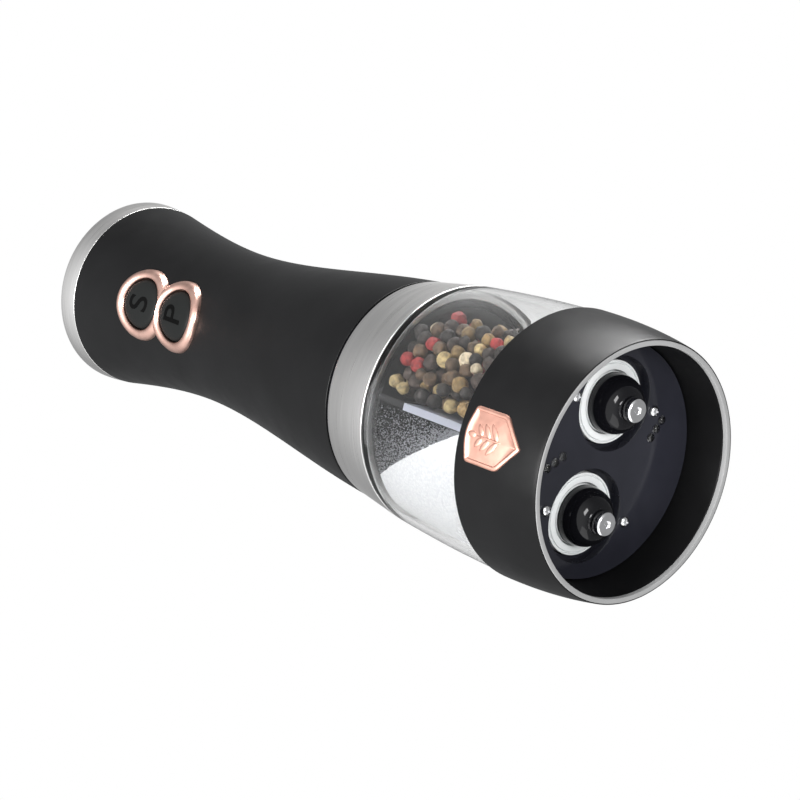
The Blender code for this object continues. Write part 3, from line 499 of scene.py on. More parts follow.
def make_plate():
    """Glossy plate with two recesses whose edges catch the light."""
    top = PLATE_Z + 2.5 * MM
    recess_edge, recess_web, recess_wall = 3.9 * MM, 2.2 * MM, 0.6 * MM
    recess_r = (PLATE_R - recess_edge - recess_web) / 2
    recess_top = PLATE_Z + 3.3 * MM
    screw_hole_r = 1.2 * MM
    below, above = -10 * MM, 100 * MM
    disc = [(0.0, top), (PLATE_R, top), (PLATE_R, PLATE_Z), (0.0, PLATE_Z)]
    plate = turned_mesh("plate_skin", disc)
    hubs, cuts = [], []
    for side in SIDES.values():
        x = side * GRINDER_X
        hubs.append(cylinder_mesh(recess_r + recess_wall, PLATE_Z + 0.5 * MM, high_z("grinder_plate"), x))
        cuts.append(cylinder_mesh(recess_r, below, recess_top, x))
        cuts.append(cylinder_mesh(wide_r("salt_stator") + GAP, below, above, x))
    for i in range(SCREWS):
        spot = centre(f"plate_screw_{i + 1}")
        cuts.append(cylinder_mesh(screw_hole_r, below, above, spot.x, spot.y, SMALL))
    plate = boolean(boolean(plate, "UNION", hubs), "DIFFERENCE", cuts)
    obj = place("plate_skin", plate, PLATE_BLACK, "base", "grinder_plate", "gloss_black")
    soften = obj.modifiers.new("soften", "BEVEL")
    soften.width = 0.3 * MM
    soften.segments = 2
    soften.limit_method = "ANGLE"
    soften.angle_limit = math.radians(60)
    soften.use_clamp_overlap = True


def make_mill(spice, x):
    """Ceramic pair: a ring with a groove in its face, and a cone that turns in its bore."""
    low, high = low_z(f"{spice}_stator"), high_z(f"{spice}_stator")
    outer = wide_r(f"{spice}_stator")
    bore = outer - 2.4 * MM
    cone = low + 1.6 * MM
    face = low + 0.1 * MM
    groove = low + 0.7 * MM
    stator = [(outer, high), (outer, face), (outer - 0.45 * MM, low), (outer - 0.5 * MM, groove),
              (outer - 0.8 * MM, groove), (outer - 0.85 * MM, low), (bore, low), (bore, cone),
              (bore - 2.0 * MM, high)]
    place(f"{spice}_stator_ring", turned_mesh("stator", eased(stator, 0.15 * MM), x, steps=MEDIUM), CERAMIC,
          "base", f"{spice}_stator", "ceramic")
    rotor_r = bore - 0.4 * MM
    rotor = [(bore - 2.6 * MM, high), (rotor_r, cone), (rotor_r, face), (SHAFT_BORE, face),
             (SHAFT_BORE, high)]
    place(f"{spice}_rotor_cone", turned_mesh("rotor", eased(rotor, 0.15 * MM), x, steps=MEDIUM), CERAMIC,
          f"{spice}_spindle", f"{spice}_rotor", "ceramic")


def make_adjuster(spice, x):
    """Glossy dome under a grinder, and the bright nut at its tip."""
    body, node = f"{spice}_adjuster", f"{spice}_adjuster_dome"
    low, high = low_z(node), high_z(node)
    tip = 3.4 * MM
    base = wide_r(node) + 0.25 * MM
    fullness = 2.6

    def dome_radius(z):
        fall = (high - z) / (high - low)
        return tip + (base - tip) * math.sqrt(max(0.0, 1.0 - fall**fullness))

    dome = down(dome_radius, low, high, 40) + [(SHAFT_BORE, low), (SHAFT_BORE, high)]
    place(f"{spice}_dome", turned_mesh("dome", dome, x, steps=MEDIUM), GLOSS_BLACK, body, node, "gloss_black")
    node = f"{spice}_adjuster_nut"
    low, high = low_z(node), high_z(node)
    r = wide_r(node)
    dimple = low + 0.5 * MM
    nut = [(0.0, high), (r, high), (r, low + 0.35 * MM), (r - 0.45 * MM, low), (0.95 * MM, low),
           (0.8 * MM, dimple), (0.0, dimple)]
    place(f"{spice}_nut", turned_mesh("nut", eased(nut, 0.2 * MM), x, steps=MEDIUM), CHROME, body, node,
          "chrome")


def make_screws():
    """Button-headed screws with a cross recess."""
    under = PLATE_Z - 0.1 * MM
    rim = under - 0.25 * MM
    slot_long, slot_wide, slot_deep = 1.6 * MM, 0.35 * MM, 1.0 * MM
    for i in range(SCREWS):
        node = f"plate_screw_{i + 1}"
        spot = centre(node)
        tip = low_z(node) - 0.1 * MM
        r = wide_r(node)
        head = [(0.0, under), (r, under)] + button_profile(r, rim, 0.75 * MM, 8)[1:] + [(0.0, tip)]
        mesh = turned_mesh("screw", head, spot.x, spot.y, SMALL)
        slots = [box_mesh("slot", size, (spot.x, spot.y, tip))
                 for size in ((slot_wide, slot_long, slot_deep), (slot_long, slot_wide, slot_deep))]
        place(f"screw_head_{i + 1}", boolean(mesh, "DIFFERENCE", slots), CHROME, "base", node, "chrome")


def make_lenses():
    """Three clear pips in a row at each light window."""
    under = PLATE_Z - 0.05 * MM
    for node in ("light_lens_front", "light_lens_rear"):
        middle = centre(node)
        low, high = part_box(node)
        span = Vector((high.x - low.x, high.y - low.y))
        across = (span / 2 - Vector((PIP_R, PIP_R))).normalized() * PIP_REACH
        pip = button_profile(PIP_R, under, PIP_H, 10) + [(0.0, under - PIP_H)]
        parts = []
        for i in (-1, 0, 1):
            x, y = middle.x + i * across.x, middle.y + i * across.y
            parts.append(points_faces(turned_mesh("pip", pip, x, y, SMALL)))
        place(f"{node}_pips", joined_mesh(node, parts), CLEAR, "base", node, "clear_acrylic")


# Keys, bezel and badge: grids wrapped onto the curved front.


def on_front(radius_at, x, z, height):
    """Point on the front of a turned side, at x across and height above it."""
    r = radius_at(z) + height
    return (x, -math.sqrt(max(r * r - x * x, 0.0)), z)


def strip_faces(rows, count):
    """Faces between each of the rows and the next, where each row is a ring of count points."""
    faces = []
    for i in range(rows - 1):
        for j in range(count):
            k = (j + 1) % count
            faces.append((i * count + j, i * count + k, (i + 1) * count + k, (i + 1) * count + j))
    return faces


def wrapped_mesh(name, rings, radius_at, centre_point):
    """Rings of (x, z, height) points on the front, joined in order and filled at the middle."""
    count = len(rings[0])
    points = [on_front(radius_at, *p) for ring in rings for p in ring]
    points.append(on_front(radius_at, *centre_point))
    last = (len(rings) - 1) * count
    faces = strip_faces(len(rings), count)
    faces += [(last + j, last + (j + 1) % count, len(points) - 1) for j in range(count)]
    return joined_mesh(name, [(points, faces)])


def bezel_ring(z_mid, way, steps=160, layers=14):
    """Rings of points from one key's hole out to the rim, or to the line halfway to the other key."""
    crown, edge_share = 1.9 * MM, 0.35
    half = BEZEL_RING / 2
    other = z_mid + way * KEY_PITCH
    rings = []
    for layer in range(layers + 1):
        t = 0.5 - 0.5 * math.cos(math.pi * layer / layers)
        ring = []
        for i in range(steps):
            a = 2 * math.pi * i / steps
            toward = way * math.sin(a)
            limit = min(RING_R, KEY_PITCH / 2 / toward) if toward > 0 else RING_R
            reach = HOLE_R + (limit - HOLE_R) * t
            x, z = reach * math.cos(a), z_mid + reach * math.sin(a)
            nearest = min(reach, math.hypot(x, z - other))
            rise = min(1.0, max(0.0, min(nearest - HOLE_R, RING_R - nearest) / half))
            ring.append((x, z, crown * (edge_share + (1 - edge_share) * math.sqrt(1 - (1 - rise) ** 2))))
        rings.append(ring)
    return rings


def make_bezel():
    """Rounded rose-gold ring round both keys, which runs together between them."""
    sunk = 2.2 * MM
    parts = []
    for z_mid, way in ((KEY_Z["salt"], -1), (KEY_Z["pepper"], 1)):
        rings = bezel_ring(z_mid, way)
        rings.insert(0, [(x, z, -sunk) for x, z, _ in rings[0]])
        rings.append([(x, z, -sunk) for x, z, _ in rings[-1]])
        count = len(rings[0])
        points = [on_front(handle_radius, *p) for ring in rings for p in ring]
        faces = []
        for i in range(len(rings)):
            n = (i + 1) % len(rings)
            for j in range(count):
                k = (j + 1) % count
                faces.append((i * count + k, i * count + j, n * count + j, n * count + k))
        parts.append((points, faces))
    place("bezel_ring", joined_mesh("bezel_ring", parts), ROSE_GOLD, "handle", "button_bezel", "rose_gold")


KEY_SECTIONS = [(1.0, -3.4), (1.0, 0.2), (0.995, 0.55), (0.975, 0.85), (0.94, 1.08), (0.89, 1.24),
                (0.8, 1.34), (0.6, 1.38), (0.4, KEY_PROUD / MM), (0.2, KEY_PROUD / MM)]


def letter_mesh(text):
    """A flat letter in Blender's own typeface, centred on the origin."""
    letter = bpy.data.curves.new("letter", "FONT")
    letter.body = text
    letter.size = 11.0 * MM
    letter.align_x = "CENTER"
    letter.align_y = "CENTER"
    letter.extrude = 0.1 * MM
    letter.bevel_depth = 0.05 * MM
    letter.offset = 0.04 * MM
    letter.resolution_u = 8
    flat = bpy.data.objects.new("letter", letter)
    bpy.context.scene.collection.objects.link(flat)
    mesh = bpy.data.meshes.new_from_object(flat.evaluated_get(bpy.context.evaluated_depsgraph_get()))
    bpy.data.objects.remove(flat)
    return mesh


def make_keys():
    """Soft keys that follow the handle's curve, each with its function letter."""
    turns = [2 * math.pi * i / MEDIUM for i in range(MEDIUM)]
    for spice, z_mid in KEY_Z.items():
        rings = [[(share * KEY_R * math.cos(a), z_mid + share * KEY_R * math.sin(a), height * MM)
                  for a in turns] for share, height in KEY_SECTIONS]
        mesh = wrapped_mesh(f"{spice}_key_face", rings, handle_radius, (0.0, z_mid, KEY_PROUD))
        place(f"{spice}_key_face", mesh, KEY_BLACK, f"{spice}_key", f"{spice}_key", "soft_black")
        mesh = letter_mesh(spice[0].upper())
        for vertex in mesh.vertices:
            x, up_z, height = vertex.co
            vertex.co = on_front(handle_radius, x, z_mid + up_z, KEY_PROUD - LETTER_SUNK + height)
        place(f"{spice}_key_letter", mesh, LETTER_BLACK, f"{spice}_key", None, "soft_black")


def inset(points, distance):
    """A convex outline, run anticlockwise, moved inwards by a distance."""
    moved = []
    count = len(points)
    for i in range(count):
        a, b, c = (Vector(points[(i + k) % count]) for k in (-1, 0, 1))
        n1 = Vector((-(b - a).y, (b - a).x)).normalized()
        n2 = Vector((-(c - b).y, (c - b).x)).normalized()
        bisector = (n1 + n2).normalized()
        moved.append(tuple(b + bisector * distance / max(bisector.dot(n1), 0.3)))
    return moved


def badge_outline():
    """Home-plate outline, anticlockwise from the point, its corners rounded and its top edge crowned."""
    low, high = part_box("badge")
    w, shoulder, corner = high.x, low.z + 6.1 * MM, high.z - 1.6 * MM
    corners = [(0.0, low.z), (w, shoulder), (w, corner), (0.0, high.z), (-w, corner), (-w, shoulder)]
    radii = [0.8 * MM, 1.2 * MM, 0.9 * MM, 6.0 * MM, 0.9 * MM, 1.2 * MM]
    points = []
    for i, corner_point in enumerate(corners):
        here = Vector(corner_point)
        before = Vector(corners[i - 1]) - here
        after = Vector(corners[(i + 1) % len(corners)]) - here
        points += corner_arc(here, before, after, radii[i], 8)
    return points


def make_badge():
    """Rose-gold shield with a raised border, and a leaf sprig in place of any mark."""
    edge = badge_outline()
    middle = Vector((0.0, sum(p[1] for p in edge) / len(edge)))
    border = [(0.0, -0.5), (0.0, 0.2), (0.1, 0.42), (0.3, 0.52), (0.65, 0.56), (0.9, 0.5), (1.05, 0.36),
              (1.15, 0.3)]
    rings = [[(x, z, height * MM) for x, z in inset(edge, distance * MM)] for distance, height in border]
    field = rings[-1]
    for share in (0.8, 0.6, 0.4, 0.2):
        rings.append([(middle.x + (x - middle.x) * share, middle.y + (z - middle.y) * share, h)
                      for x, z, h in field])
    mesh = wrapped_mesh("badge_skin", rings, collar_radius, (middle.x, middle.y, field[0][2]))
    place("badge_skin", mesh, BADGE_GOLD, "base", "badge", "rose_gold")
    make_sprig(middle.y)


def leaf_pad(x, z, long_r, short_r, turn, steps=28):
    """A small raised oval on the badge's field, long along its turn and narrower towards its tip."""
    field, crown = 0.26 * MM, 0.22 * MM
    narrowing = 0.25
    rings = []
    for share, rise in ((1.0, 0.0), (0.92, 0.5), (0.7, 0.85), (0.4, 0.97)):
        ring = []
        for i in range(steps):
            a = 2 * math.pi * i / steps
            u = share * long_r * math.cos(a)
            v = share * short_r * math.sin(a) * (1 - narrowing * math.cos(a))
            ring.append((x + u * math.cos(turn) - v * math.sin(turn),
                         z + u * math.sin(turn) + v * math.cos(turn), field + crown * rise))
        rings.append(ring)
    return points_faces(wrapped_mesh("pad", rings, collar_radius, (x, z, field + crown)))


def make_sprig(z_mid):
    """A stem with three pairs of leaves and one at its tip."""
    foot, head = z_mid - 4.6 * MM, z_mid + 5.6 * MM
    upright = math.pi / 2
    lean = math.radians(52)
    stem = leaf_pad(0.0, (foot + head) / 2 - 1.0 * MM, (head - foot) / 2 - 0.8 * MM, 0.28 * MM, upright)
    parts = [stem]
    for i in range(3):
        rise = (1.4 + 2.4 * i) * MM
        leaf = (2.3 - 0.35 * i) * MM
        for way in (-1, 1):
            x = way * (0.35 * MM + leaf * 0.72)
            parts.append(leaf_pad(x, foot + rise + leaf * 0.55, leaf, 0.78 * MM, upright - way * lean))
    parts.append(leaf_pad(0.0, head - 0.6 * MM, 1.5 * MM, 0.8 * MM, upright))
    place("badge_sprig", joined_mesh("badge_sprig", parts), BADGE_GOLD, "base", None, "rose_gold")


# Clear container and what is in it.


def make_container():
    """Clear tube with rounded edges, thick at the shoulder, and the divider wall down its middle."""
    shoulder = COLLAR_TOP + GAP
    glass_top = BAND_LOW - GAP
    neck = SHOULDER_R - BAND_WALL - GAP
    neck_bore = neck - 1.6 * MM
    neck_top = high_z("container")
    foot = low_z("container")
    skirt = BODY_R - SHELL_WALL - GAP
    profile = [(neck, neck_top), (neck, glass_top)] + down(glass_radius, shoulder, glass_top, 24)
    profile += [(skirt, shoulder), (skirt, foot), (skirt - SKIRT_WALL, foot)]
    profile += up(glass_radius, shoulder, glass_top - CLEAR_WALL, 20, -CLEAR_WALL)
    profile += [(neck_bore, glass_top), (neck_bore, neck_top)]
    tube = turned_mesh("container_shell", eased(profile, SHELL_EDGE))
    place("container_shell", tube, CLEAR, "base", "container", "clear_acrylic")
    half = GLASS_R - CLEAR_WALL
    low, high = foot + 0.6 * MM, foot + 25.1 * MM
    divider = box_mesh("divider", (1.8 * MM, 2 * half, high - low), (0.0, 0.0, (low + high) / 2))
    for vertex in divider.vertices:
        reach = glass_radius(max(vertex.co.z, COLLAR_TOP)) - CLEAR_WALL - 0.05 * MM
        vertex.co.y = math.copysign(min(half, reach), vertex.co.y)
    # The divider takes the pale frosted finish with its painted highlight.
    place("divider_wall", divider, FROSTED_PAINTED_HIGHLIGHT, "base", None, "clear_acrylic")


def inside(z, clearance):
    """Inside radius of the container at height z, less a clearance."""
    foot_r = BODY_R - SHELL_WALL - GAP - SKIRT_WALL
    r = glass_radius(max(z, COLLAR_TOP)) - GLASS_WALL if z > COLLAR_TOP else foot_r
    return r - clearance


CORN_SHADES = [(0.016, 0.01, 0.008), (0.035, 0.02, 0.014), (0.085, 0.048, 0.022), (0.22, 0.14, 0.05),
               (0.4, 0.3, 0.14), (0.62, 0.52, 0.36), (0.33, 0.018, 0.018)]
CORN_SHARES = [0.3, 0.18, 0.15, 0.14, 0.09, 0.05, 0.09]
CORNS = 620
CORN_SWELL = 1.04


def random_turn(rng):
    """A rotation by a random angle about a random axis."""
    return np.array(Matrix.Rotation(rng.uniform(0, 6.28), 3, Vector(rng.normal(size=3))))


def corn_material():
    """Dried peppercorns: each corn's own colour, read from its points, with painted shade in its wrinkles."""
    made, shader, add, link = new_material("peppercorn_skin")
    shade = add("ShaderNodeAttribute", attribute_name="shade")
    wrinkle_bump_and_shade = noise(add, 900.0, 4.0)
    # Painted shade: the colour darkens where the wrinkle noise is low, in the troughs of its bump, and
    # lightens on the tops.
    dark = ramp(add, wrinkle_bump_and_shade.outputs["Fac"], [(0.3, 0.45), (0.62, 1.15)])
    mixed = add("ShaderNodeMix", data_type="RGBA", blend_type="MULTIPLY")
    mixed.inputs[0].default_value = 1.0
    link(shade.outputs["Color"], mixed.inputs[6])
    link(dark.outputs[0], mixed.inputs[7])
    link(mixed.outputs[2], "Base Color")
    link(bump(add, wrinkle_bump_and_shade.outputs["Fac"], 0.7, 0.0004).outputs[0], "Normal")
    set_inputs(shader, roughness=0.6)
    return made


def corn_template(rng, variant):
    """A wrinkled ball of unit radius."""
    shape = bmesh.new()
    bmesh.ops.create_icosphere(shape, subdivisions=3, radius=1.0)
    waves, pitch = 9, 3.1
    ridges = rng.normal(size=(waves, 3))
    phases = rng.uniform(0, 2 * math.pi, waves)
    depth = 0.03 + 0.035 * (variant % 3) / 2
    for vertex in shape.verts:
        height = sum(math.sin(pitch * vertex.co.dot(Vector(n)) + p) for n, p in zip(ridges, phases))
        vertex.co *= 1.0 + depth * height / 2.2
    points = np.array([v.co for v in shape.verts])
    faces = [tuple(v.index for v in f.verts) for f in shape.faces]
    shape.free()
    return points / np.abs(points).max(), faces


def settle(rng, radii, box, hold, rounds=90):
    """Centres for balls that start at random in a box, pushed apart and held inside by small moves."""
    count = len(radii)
    spots = rng.uniform(*box, size=(count, 3))
    for _ in range(rounds):
        gap = spots[:, None, :] - spots[None, :, :]
        distance = np.sqrt((gap**2).sum(-1)) + np.eye(count)
        overlap = np.maximum(0.0, radii[:, None] + radii[None, :] - distance)
        np.fill_diagonal(overlap, 0.0)
        spots += (gap / distance[..., None] * overlap[..., None] * 0.35).sum(1)
        spots[:, 2] -= 0.02 * MM
        spots = hold(spots, radii)
    return spots


def make_pepper():
    """Whole peppercorns packed in their half of the container."""
    rng = np.random.RandomState(11)
    low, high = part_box("pepper_fill")
    heap = 1.5 * MM
    bottom, top = low.z, high.z + heap
    radii = rng.uniform(1.55, 2.15, CORNS) * MM

    def hold(spots, radii):
        spots[:, 2] = np.clip(spots[:, 2], bottom + radii, top)
        limit = np.array([inside(z, 0.15 * MM) for z in spots[:, 2]]) - radii
        flat = np.hypot(spots[:, 0], spots[:, 1])
        shrink = np.minimum(1.0, limit / np.maximum(flat, 1e-9))
        spots[:, 0] *= shrink
        spots[:, 1] *= shrink
        spots[:, 0] = np.maximum(spots[:, 0], low.x + radii)
        away = spots[:, :2] - np.array([GRINDER_X, 0.0])
        distance = np.maximum(np.hypot(away[:, 0], away[:, 1]), 1e-6)
        push = np.maximum(0.0, radii + SHAFT_BORE - distance)
        spots[:, :2] += away / distance[:, None] * push[:, None]
        spots[:, 0] = np.minimum(spots[:, 0], high.x + heap)
        return spots

    box = (np.array([low.x, low.y, bottom]), np.array([high.x, high.y, top]))
    spots = settle(rng, radii, box, hold)
    templates = [corn_template(rng, i) for i in range(6)]
    shades = rng.choice(len(CORN_SHADES), size=CORNS, p=CORN_SHARES)
    parts, colours = [], []
    for i in range(CORNS):
        points, faces = templates[i % len(templates)]
        turn = random_turn(rng)
        parts.append((points @ turn.T * radii[i] * CORN_SWELL + spots[i], faces))
        tone = rng.uniform(0.75, 1.25)
        colours.append(np.tile([*(np.array(CORN_SHADES[shades[i]]) * tone), 1.0], (len(points), 1)))
    mesh = joined_mesh("peppercorns", parts)
    attribute = mesh.attributes.new("shade", "FLOAT_COLOR", "POINT")
    attribute.data.foreach_set("color", np.concatenate(colours).astype(np.float32).ravel())
    place("peppercorns", mesh, corn_material(), "base", "pepper_fill", "peppercorns")


def salt_material():
    """White crystals with light passing a little way in."""
    made, shader, add, link = new_material("salt_crystals")
    grain = add("ShaderNodeTexVoronoi", {"Scale": 1400.0})
    where = add("ShaderNodeTexCoord")
    link(where.outputs["Object"], grain.inputs["Vector"])
    shade = ramp(add, grain.outputs["Distance"], [(0.0, (0.95, 0.955, 0.96)), (0.75, (0.78, 0.79, 0.81))])
    link(shade.outputs[0], "Base Color")
    link(bump(add, grain.outputs["Distance"], 0.5, 0.0004).outputs[0], "Normal")
    set_inputs(shader, roughness=0.35, subsurface_weight=0.4, subsurface_radius=(0.002, 0.002, 0.002),
               specular_ior_level=0.6)
    return made


SALT_LOW, SALT_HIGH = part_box("salt_fill")
SALT_FOOT = SALT_LOW.z + 5.0 * MM
SALT_STEEPNESS = 1.86
SALT_GRAINS = 5200
SALT_SPECKS = 6500
CUBE = [(x, y, z) for x in (-1, 1) for y in (-1, 1) for z in (-1, 1)]
CUBE_FACES = [(0, 1, 3, 2), (4, 6, 7, 5), (0, 4, 5, 1), (2, 3, 7, 6), (0, 2, 6, 4), (1, 5, 7, 3)]


def salt_edge(z, room):
    """How near the divider the salt reaches at height z, with at least some room left to it."""
    return min(SALT_HIGH.x - max(0.0, z - SALT_FOOT) / SALT_STEEPNESS, -room)


def open_angle(edge, r):
    """Half of the angle that a surface standing at x = edge leaves open in a bore of radius r."""
    return math.acos(max(-1.0, min(1.0, edge / r)))


def crystal(rng, spot, size):
    """A small block of random sides, turned at random."""
    turn = random_turn(rng)
    shape = np.array(CUBE) * size * rng.uniform(0.7, 1.2, 3)
    return shape @ turn.T + np.array(spot), CUBE_FACES


def salt_bed(rows=60, across=72, over=25):
    """Closed bed of salt, whose rows follow the bore round and return along its uneven free surface."""
    points = []
    for i in range(rows + 1):
        z = SALT_LOW.z + (SALT_HIGH.z - SALT_LOW.z) * i / rows
        r = inside(z, 0.15 * MM)
        spread = open_angle(salt_edge(z, 0.5 * MM), r)
        for j in range(across + 1):
            a = spread + (2 * math.pi - 2 * spread) * j / across
            wobble = 0.12 * MM * math.sin(9 * a + 700 * z) * math.sin(1300 * z)
            points.append((r * math.cos(a) + wobble, r * math.sin(a), z))
        x, y = r * math.cos(spread), r * math.sin(2 * math.pi - spread)
        for j in range(1, over):
            t = j / over
            ripple = 0.5 * MM * math.sin(900 * z + 5 * t) * math.sin(14 * t) * math.sin(math.pi * t)
            points.append((x + ripple, y * (1 - 2 * t), z))
    ring = across + over
    faces = strip_faces(rows + 1, ring)
    faces.append(tuple(range(ring))[::-1])
    faces.append(tuple(rows * ring + j for j in range(ring)))
    return points, faces


def make_salt():
    """A bed of salt with loose crystals over it, and dust on the wall above its sloping surface."""
    rng = np.random.RandomState(5)
    parts = [salt_bed()]
    on_wall = 0.62
    for _ in range(SALT_GRAINS):
        z = rng.uniform(SALT_LOW.z + 0.6 * MM, SALT_HIGH.z)
        size = rng.uniform(0.22, 0.5) * MM
        r = inside(z, 0.1 * MM) - size * 1.7
        edge = salt_edge(z, 0.6 * MM)
        spread = open_angle(edge, r)
        if rng.uniform() < on_wall:
            a = rng.uniform(spread, 2 * math.pi - spread)
            parts.append(crystal(rng, (r * math.cos(a), r * math.sin(a), z), size))
        else:
            y = rng.uniform(-1, 1) * r * math.sin(spread)
            x = edge + rng.uniform(-0.2, 0.35) * MM
            parts.append(crystal(rng, (x, y, z), size))
    place("salt_grains", joined_mesh("salt_grains", parts), salt_material(), "base", "salt_fill",
          "salt_grains")
    specks = []
    for _ in range(SALT_SPECKS):
        z = rng.uniform(SALT_FOOT, SALT_HIGH.z)
        size = rng.uniform(0.05, 0.1) * MM
        r = inside(z, 0.05 * MM) - size * 1.7
        spread = open_angle(salt_edge(z, 0.6 * MM), r)
        a = spread - abs(rng.normal(0.0, 0.5)) * (spread - math.pi / 2)
        if a > math.pi / 2 + 0.04:
            way = 1 if rng.uniform() < 0.5 else -1
            specks.append(crystal(rng, (r * math.cos(a), way * r * math.sin(a), z), size))
    place("salt_dust", joined_mesh("salt_dust", specks), SALT_DUST, "base", None, "salt_grains")


def make_insert():
    """Dark blade over the divider wall, as wide as the container is inside."""
    low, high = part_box("divider_insert")
    mesh = box_mesh("insert", high - low, (low + high) / 2)
    for vertex in mesh.vertices:
        vertex.co.y = math.copysign(inside(vertex.co.z, GAP), vertex.co.y)
    obj = place("divider_blade", mesh, GLOSS_BLACK, "base", "divider_insert", "gloss_black")
    soften = obj.modifiers.new("soften", "BEVEL")
    soften.width = 0.4 * MM
    soften.segments = 3


# Everything hidden inside keeps its CAD shape and takes a finished material.

CAD_FINISH = {
    GLOSS_BLACK: ["gearbox_case", "hopper_floor"],
    NYLON: ["salt_gear", "pepper_gear", "motor_plate", "chassis_plate", "battery_holder"],
    STEEL: ["salt_shaft", "pepper_shaft", "salt_pinion", "pepper_pinion", "salt_motor", "pepper_motor",
            "lower_contact", "upper_contact", "salt_switch", "pepper_switch"],
    SILICONE: ["container_seal"],
    BOARD: ["switch_board"],
    CELL: ["battery_1", "battery_2", "battery_3", "battery_4"],
}


def finish_cad():
    """Gives each CAD node listed above its material."""
    for material, nodes in CAD_FINISH.items():
        for node in nodes:
            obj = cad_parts[node]
            if not obj.material_slots:
                obj.data.materials.append(material)
            for material_slot in obj.material_slots:
                material_slot.material = material


# Camera, light and floor.

VIEW_FROM = Vector((49.9, -389.8, -346.2)) * MM
VIEW_AT = Vector((0.0, -24.04, 60.92)) * MM
VIEW_ROLL = math.radians(-69.572)
VIEW_LENS = 99.0
BRIGHT_SIDE = (-0.35, -0.75, -0.35)


def make_camera():
    """Long lens, in front of and well below the mill, rolled so that the mill lies across the view."""
    data = bpy.data.cameras.new("view")
    data.lens = VIEW_LENS
    data.sensor_width = 36.0
    data.clip_start = 0.01
    data.clip_end = 20.0
    camera = bpy.data.objects.new("view", data)
    bpy.context.scene.collection.objects.link(camera)
    aimed = (VIEW_FROM - VIEW_AT).to_track_quat("Z", "Y").to_matrix().to_4x4()
    rolled = Matrix.Rotation(VIEW_ROLL, 4, "Z")
    camera.matrix_world = Matrix.Translation(VIEW_FROM) @ aimed @ rolled
    bpy.context.scene.camera = camera
    return camera


def area(name, where, target, size, power, colour=(1.0, 1.0, 1.0), size_y=None):
    data = bpy.data.lights.new(name, "AREA")
    data.energy = power
    data.color = colour
    data.size = size
    if size_y:
        data.shape = "RECTANGLE"
        data.size_y = size_y
    lamp = bpy.data.objects.new(name, data)
    bpy.context.scene.collection.objects.link(lamp)
    lamp.location = where
    lamp.rotation_euler = (Vector(target) - Vector(where)).to_track_quat("-Z", "Y").to_euler()
    return lamp


def make_world():
    """White surroundings, seen straight on or through the clear container, and dimmer in reflections."""
    world = bpy.data.worlds.new("studio")
    bpy.context.scene.world = world
    world.use_nodes = True
    tree = world.node_tree
    output = tree.nodes["World Output"]
    seen = tree.nodes["Background"]
    seen.inputs["Color"].default_value = (1.0, 1.0, 1.0, 1.0)
    seen.inputs["Strength"].default_value = 1.0
    dim = tree.nodes.new("ShaderNodeBackground")
    dim.inputs["Color"].default_value = (0.98, 0.99, 1.0, 1.0)
    where = tree.nodes.new("ShaderNodeTexCoord")
    facing = tree.nodes.new("ShaderNodeVectorMath")
    facing.operation = "DOT_PRODUCT"
    facing.inputs[1].default_value = Vector(BRIGHT_SIDE).normalized()
    tree.links.new(where.outputs["Generated"], facing.inputs[0])
    fade = tree.nodes.new("ShaderNodeMapRange")
    fade.interpolation_type = "SMOOTHSTEP"
    for socket, value in (("From Min", -0.3), ("From Max", 0.95), ("To Min", 0.32), ("To Max", 1.25)):
        fade.inputs[socket].default_value = value
    tree.links.new(facing.outputs["Value"], fade.inputs["Value"])
    tree.links.new(fade.outputs["Result"], dim.inputs["Strength"])
    path = tree.nodes.new("ShaderNodeLightPath")
    either = tree.nodes.new("ShaderNodeMath")
    either.operation = "MAXIMUM"
    tree.links.new(path.outputs["Is Camera Ray"], either.inputs[0])
    tree.links.new(path.outputs["Is Transmission Ray"], either.inputs[1])
    mix = tree.nodes.new("ShaderNodeMixShader")
    tree.links.new(either.outputs[0], mix.inputs[0])
    tree.links.new(dim.outputs[0], mix.inputs[1])
    tree.links.new(seen.outputs[0], mix.inputs[2])
    tree.links.new(mix.outputs[0], output.inputs["Surface"])
    bpy.context.scene.view_settings.view_transform = "Standard"


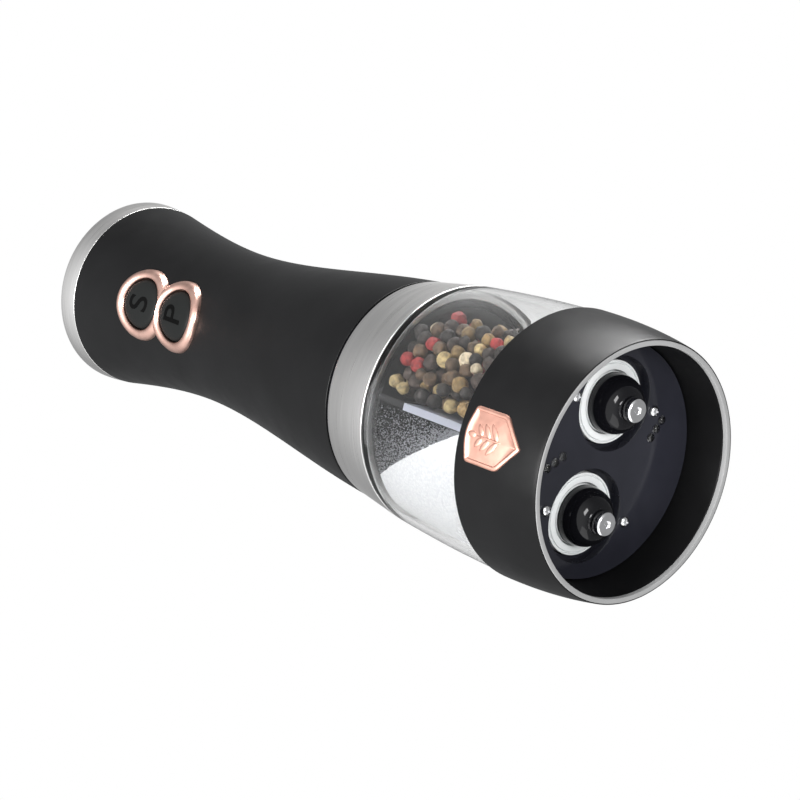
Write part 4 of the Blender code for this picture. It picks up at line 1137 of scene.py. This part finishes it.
def make_floor():
    """Pale floor, shown from above only, so that a view from below sees the base."""
    made, shader, add, link = new_material("floor_paint")
    mottle = noise(add, 6.0, 2.0)
    link(ramp(add, mottle.outputs["Fac"], [(0.3, 0.8), (0.7, 0.84)]).outputs[0], "Base Color")
    set_inputs(shader, roughness=0.6)
    side = add("ShaderNodeNewGeometry")
    through = add("ShaderNodeBsdfTransparent")
    path = add("ShaderNodeLightPath")
    looking = add("ShaderNodeMath", operation="MAXIMUM")
    link(path.outputs["Is Camera Ray"], looking.inputs[0])
    link(path.outputs["Is Transmission Ray"], looking.inputs[1])
    above = add("ShaderNodeMath", operation="SUBTRACT")
    link(looking.outputs[0], above.inputs[0])
    link(side.outputs["Backfacing"], above.inputs[1])
    tree = made.node_tree
    mix = add("ShaderNodeMixShader")
    link(above.outputs[0], mix.inputs[0])
    link(through.outputs[0], mix.inputs[1])
    link(shader.outputs[0], mix.inputs[2])
    tree.links.new(mix.outputs[0], tree.nodes["Material Output"].inputs["Surface"])
    mesh = bpy.data.meshes.new("floor")
    half = 3.0
    mesh.from_pydata([(-half, -half, 0), (half, -half, 0), (half, half, 0), (-half, half, 0)], [],
                     [(0, 1, 2, 3)])
    mesh.materials.append(made)
    floor = bpy.data.objects.new("floor", mesh)
    floor.location.z = -0.0002
    bpy.context.scene.collection.objects.link(floor)


def make_light(camera):
    """Soft boxes placed by the camera's own axes, around a point at the middle of the mill."""
    axes = camera.matrix_world.to_3x3()
    middle = Vector((0.0, 0.0, CAP_TOP / 2))

    def from_view(right, above, toward):
        return middle + axes @ Vector((right, above, toward))

    area("key_left", from_view(-0.5, -0.1, 0.55), middle, 0.35, 13.0, size_y=0.3)
    area("top_strip", from_view(0.15, 0.75, -0.2), middle, 0.8, 11.0, size_y=0.25)
    area("fill_low", from_view(0.3, -0.7, 0.35), middle, 0.6, 1.5)
    area("base_light", from_view(0.35, 0.05, 0.75), middle, 0.25, 3.0)


camera = make_camera()
make_world()
make_light(camera)
make_floor()
make_collar()
make_band()
make_handle()
make_cap()
make_plate()
for spice, side in SIDES.items():
    make_mill(spice, side * GRINDER_X)
    make_adjuster(spice, side * GRINDER_X)
make_screws()
make_lenses()
make_bezel()
make_keys()
make_badge()
make_container()
make_insert()
make_pepper()
make_salt()
finish_cad()
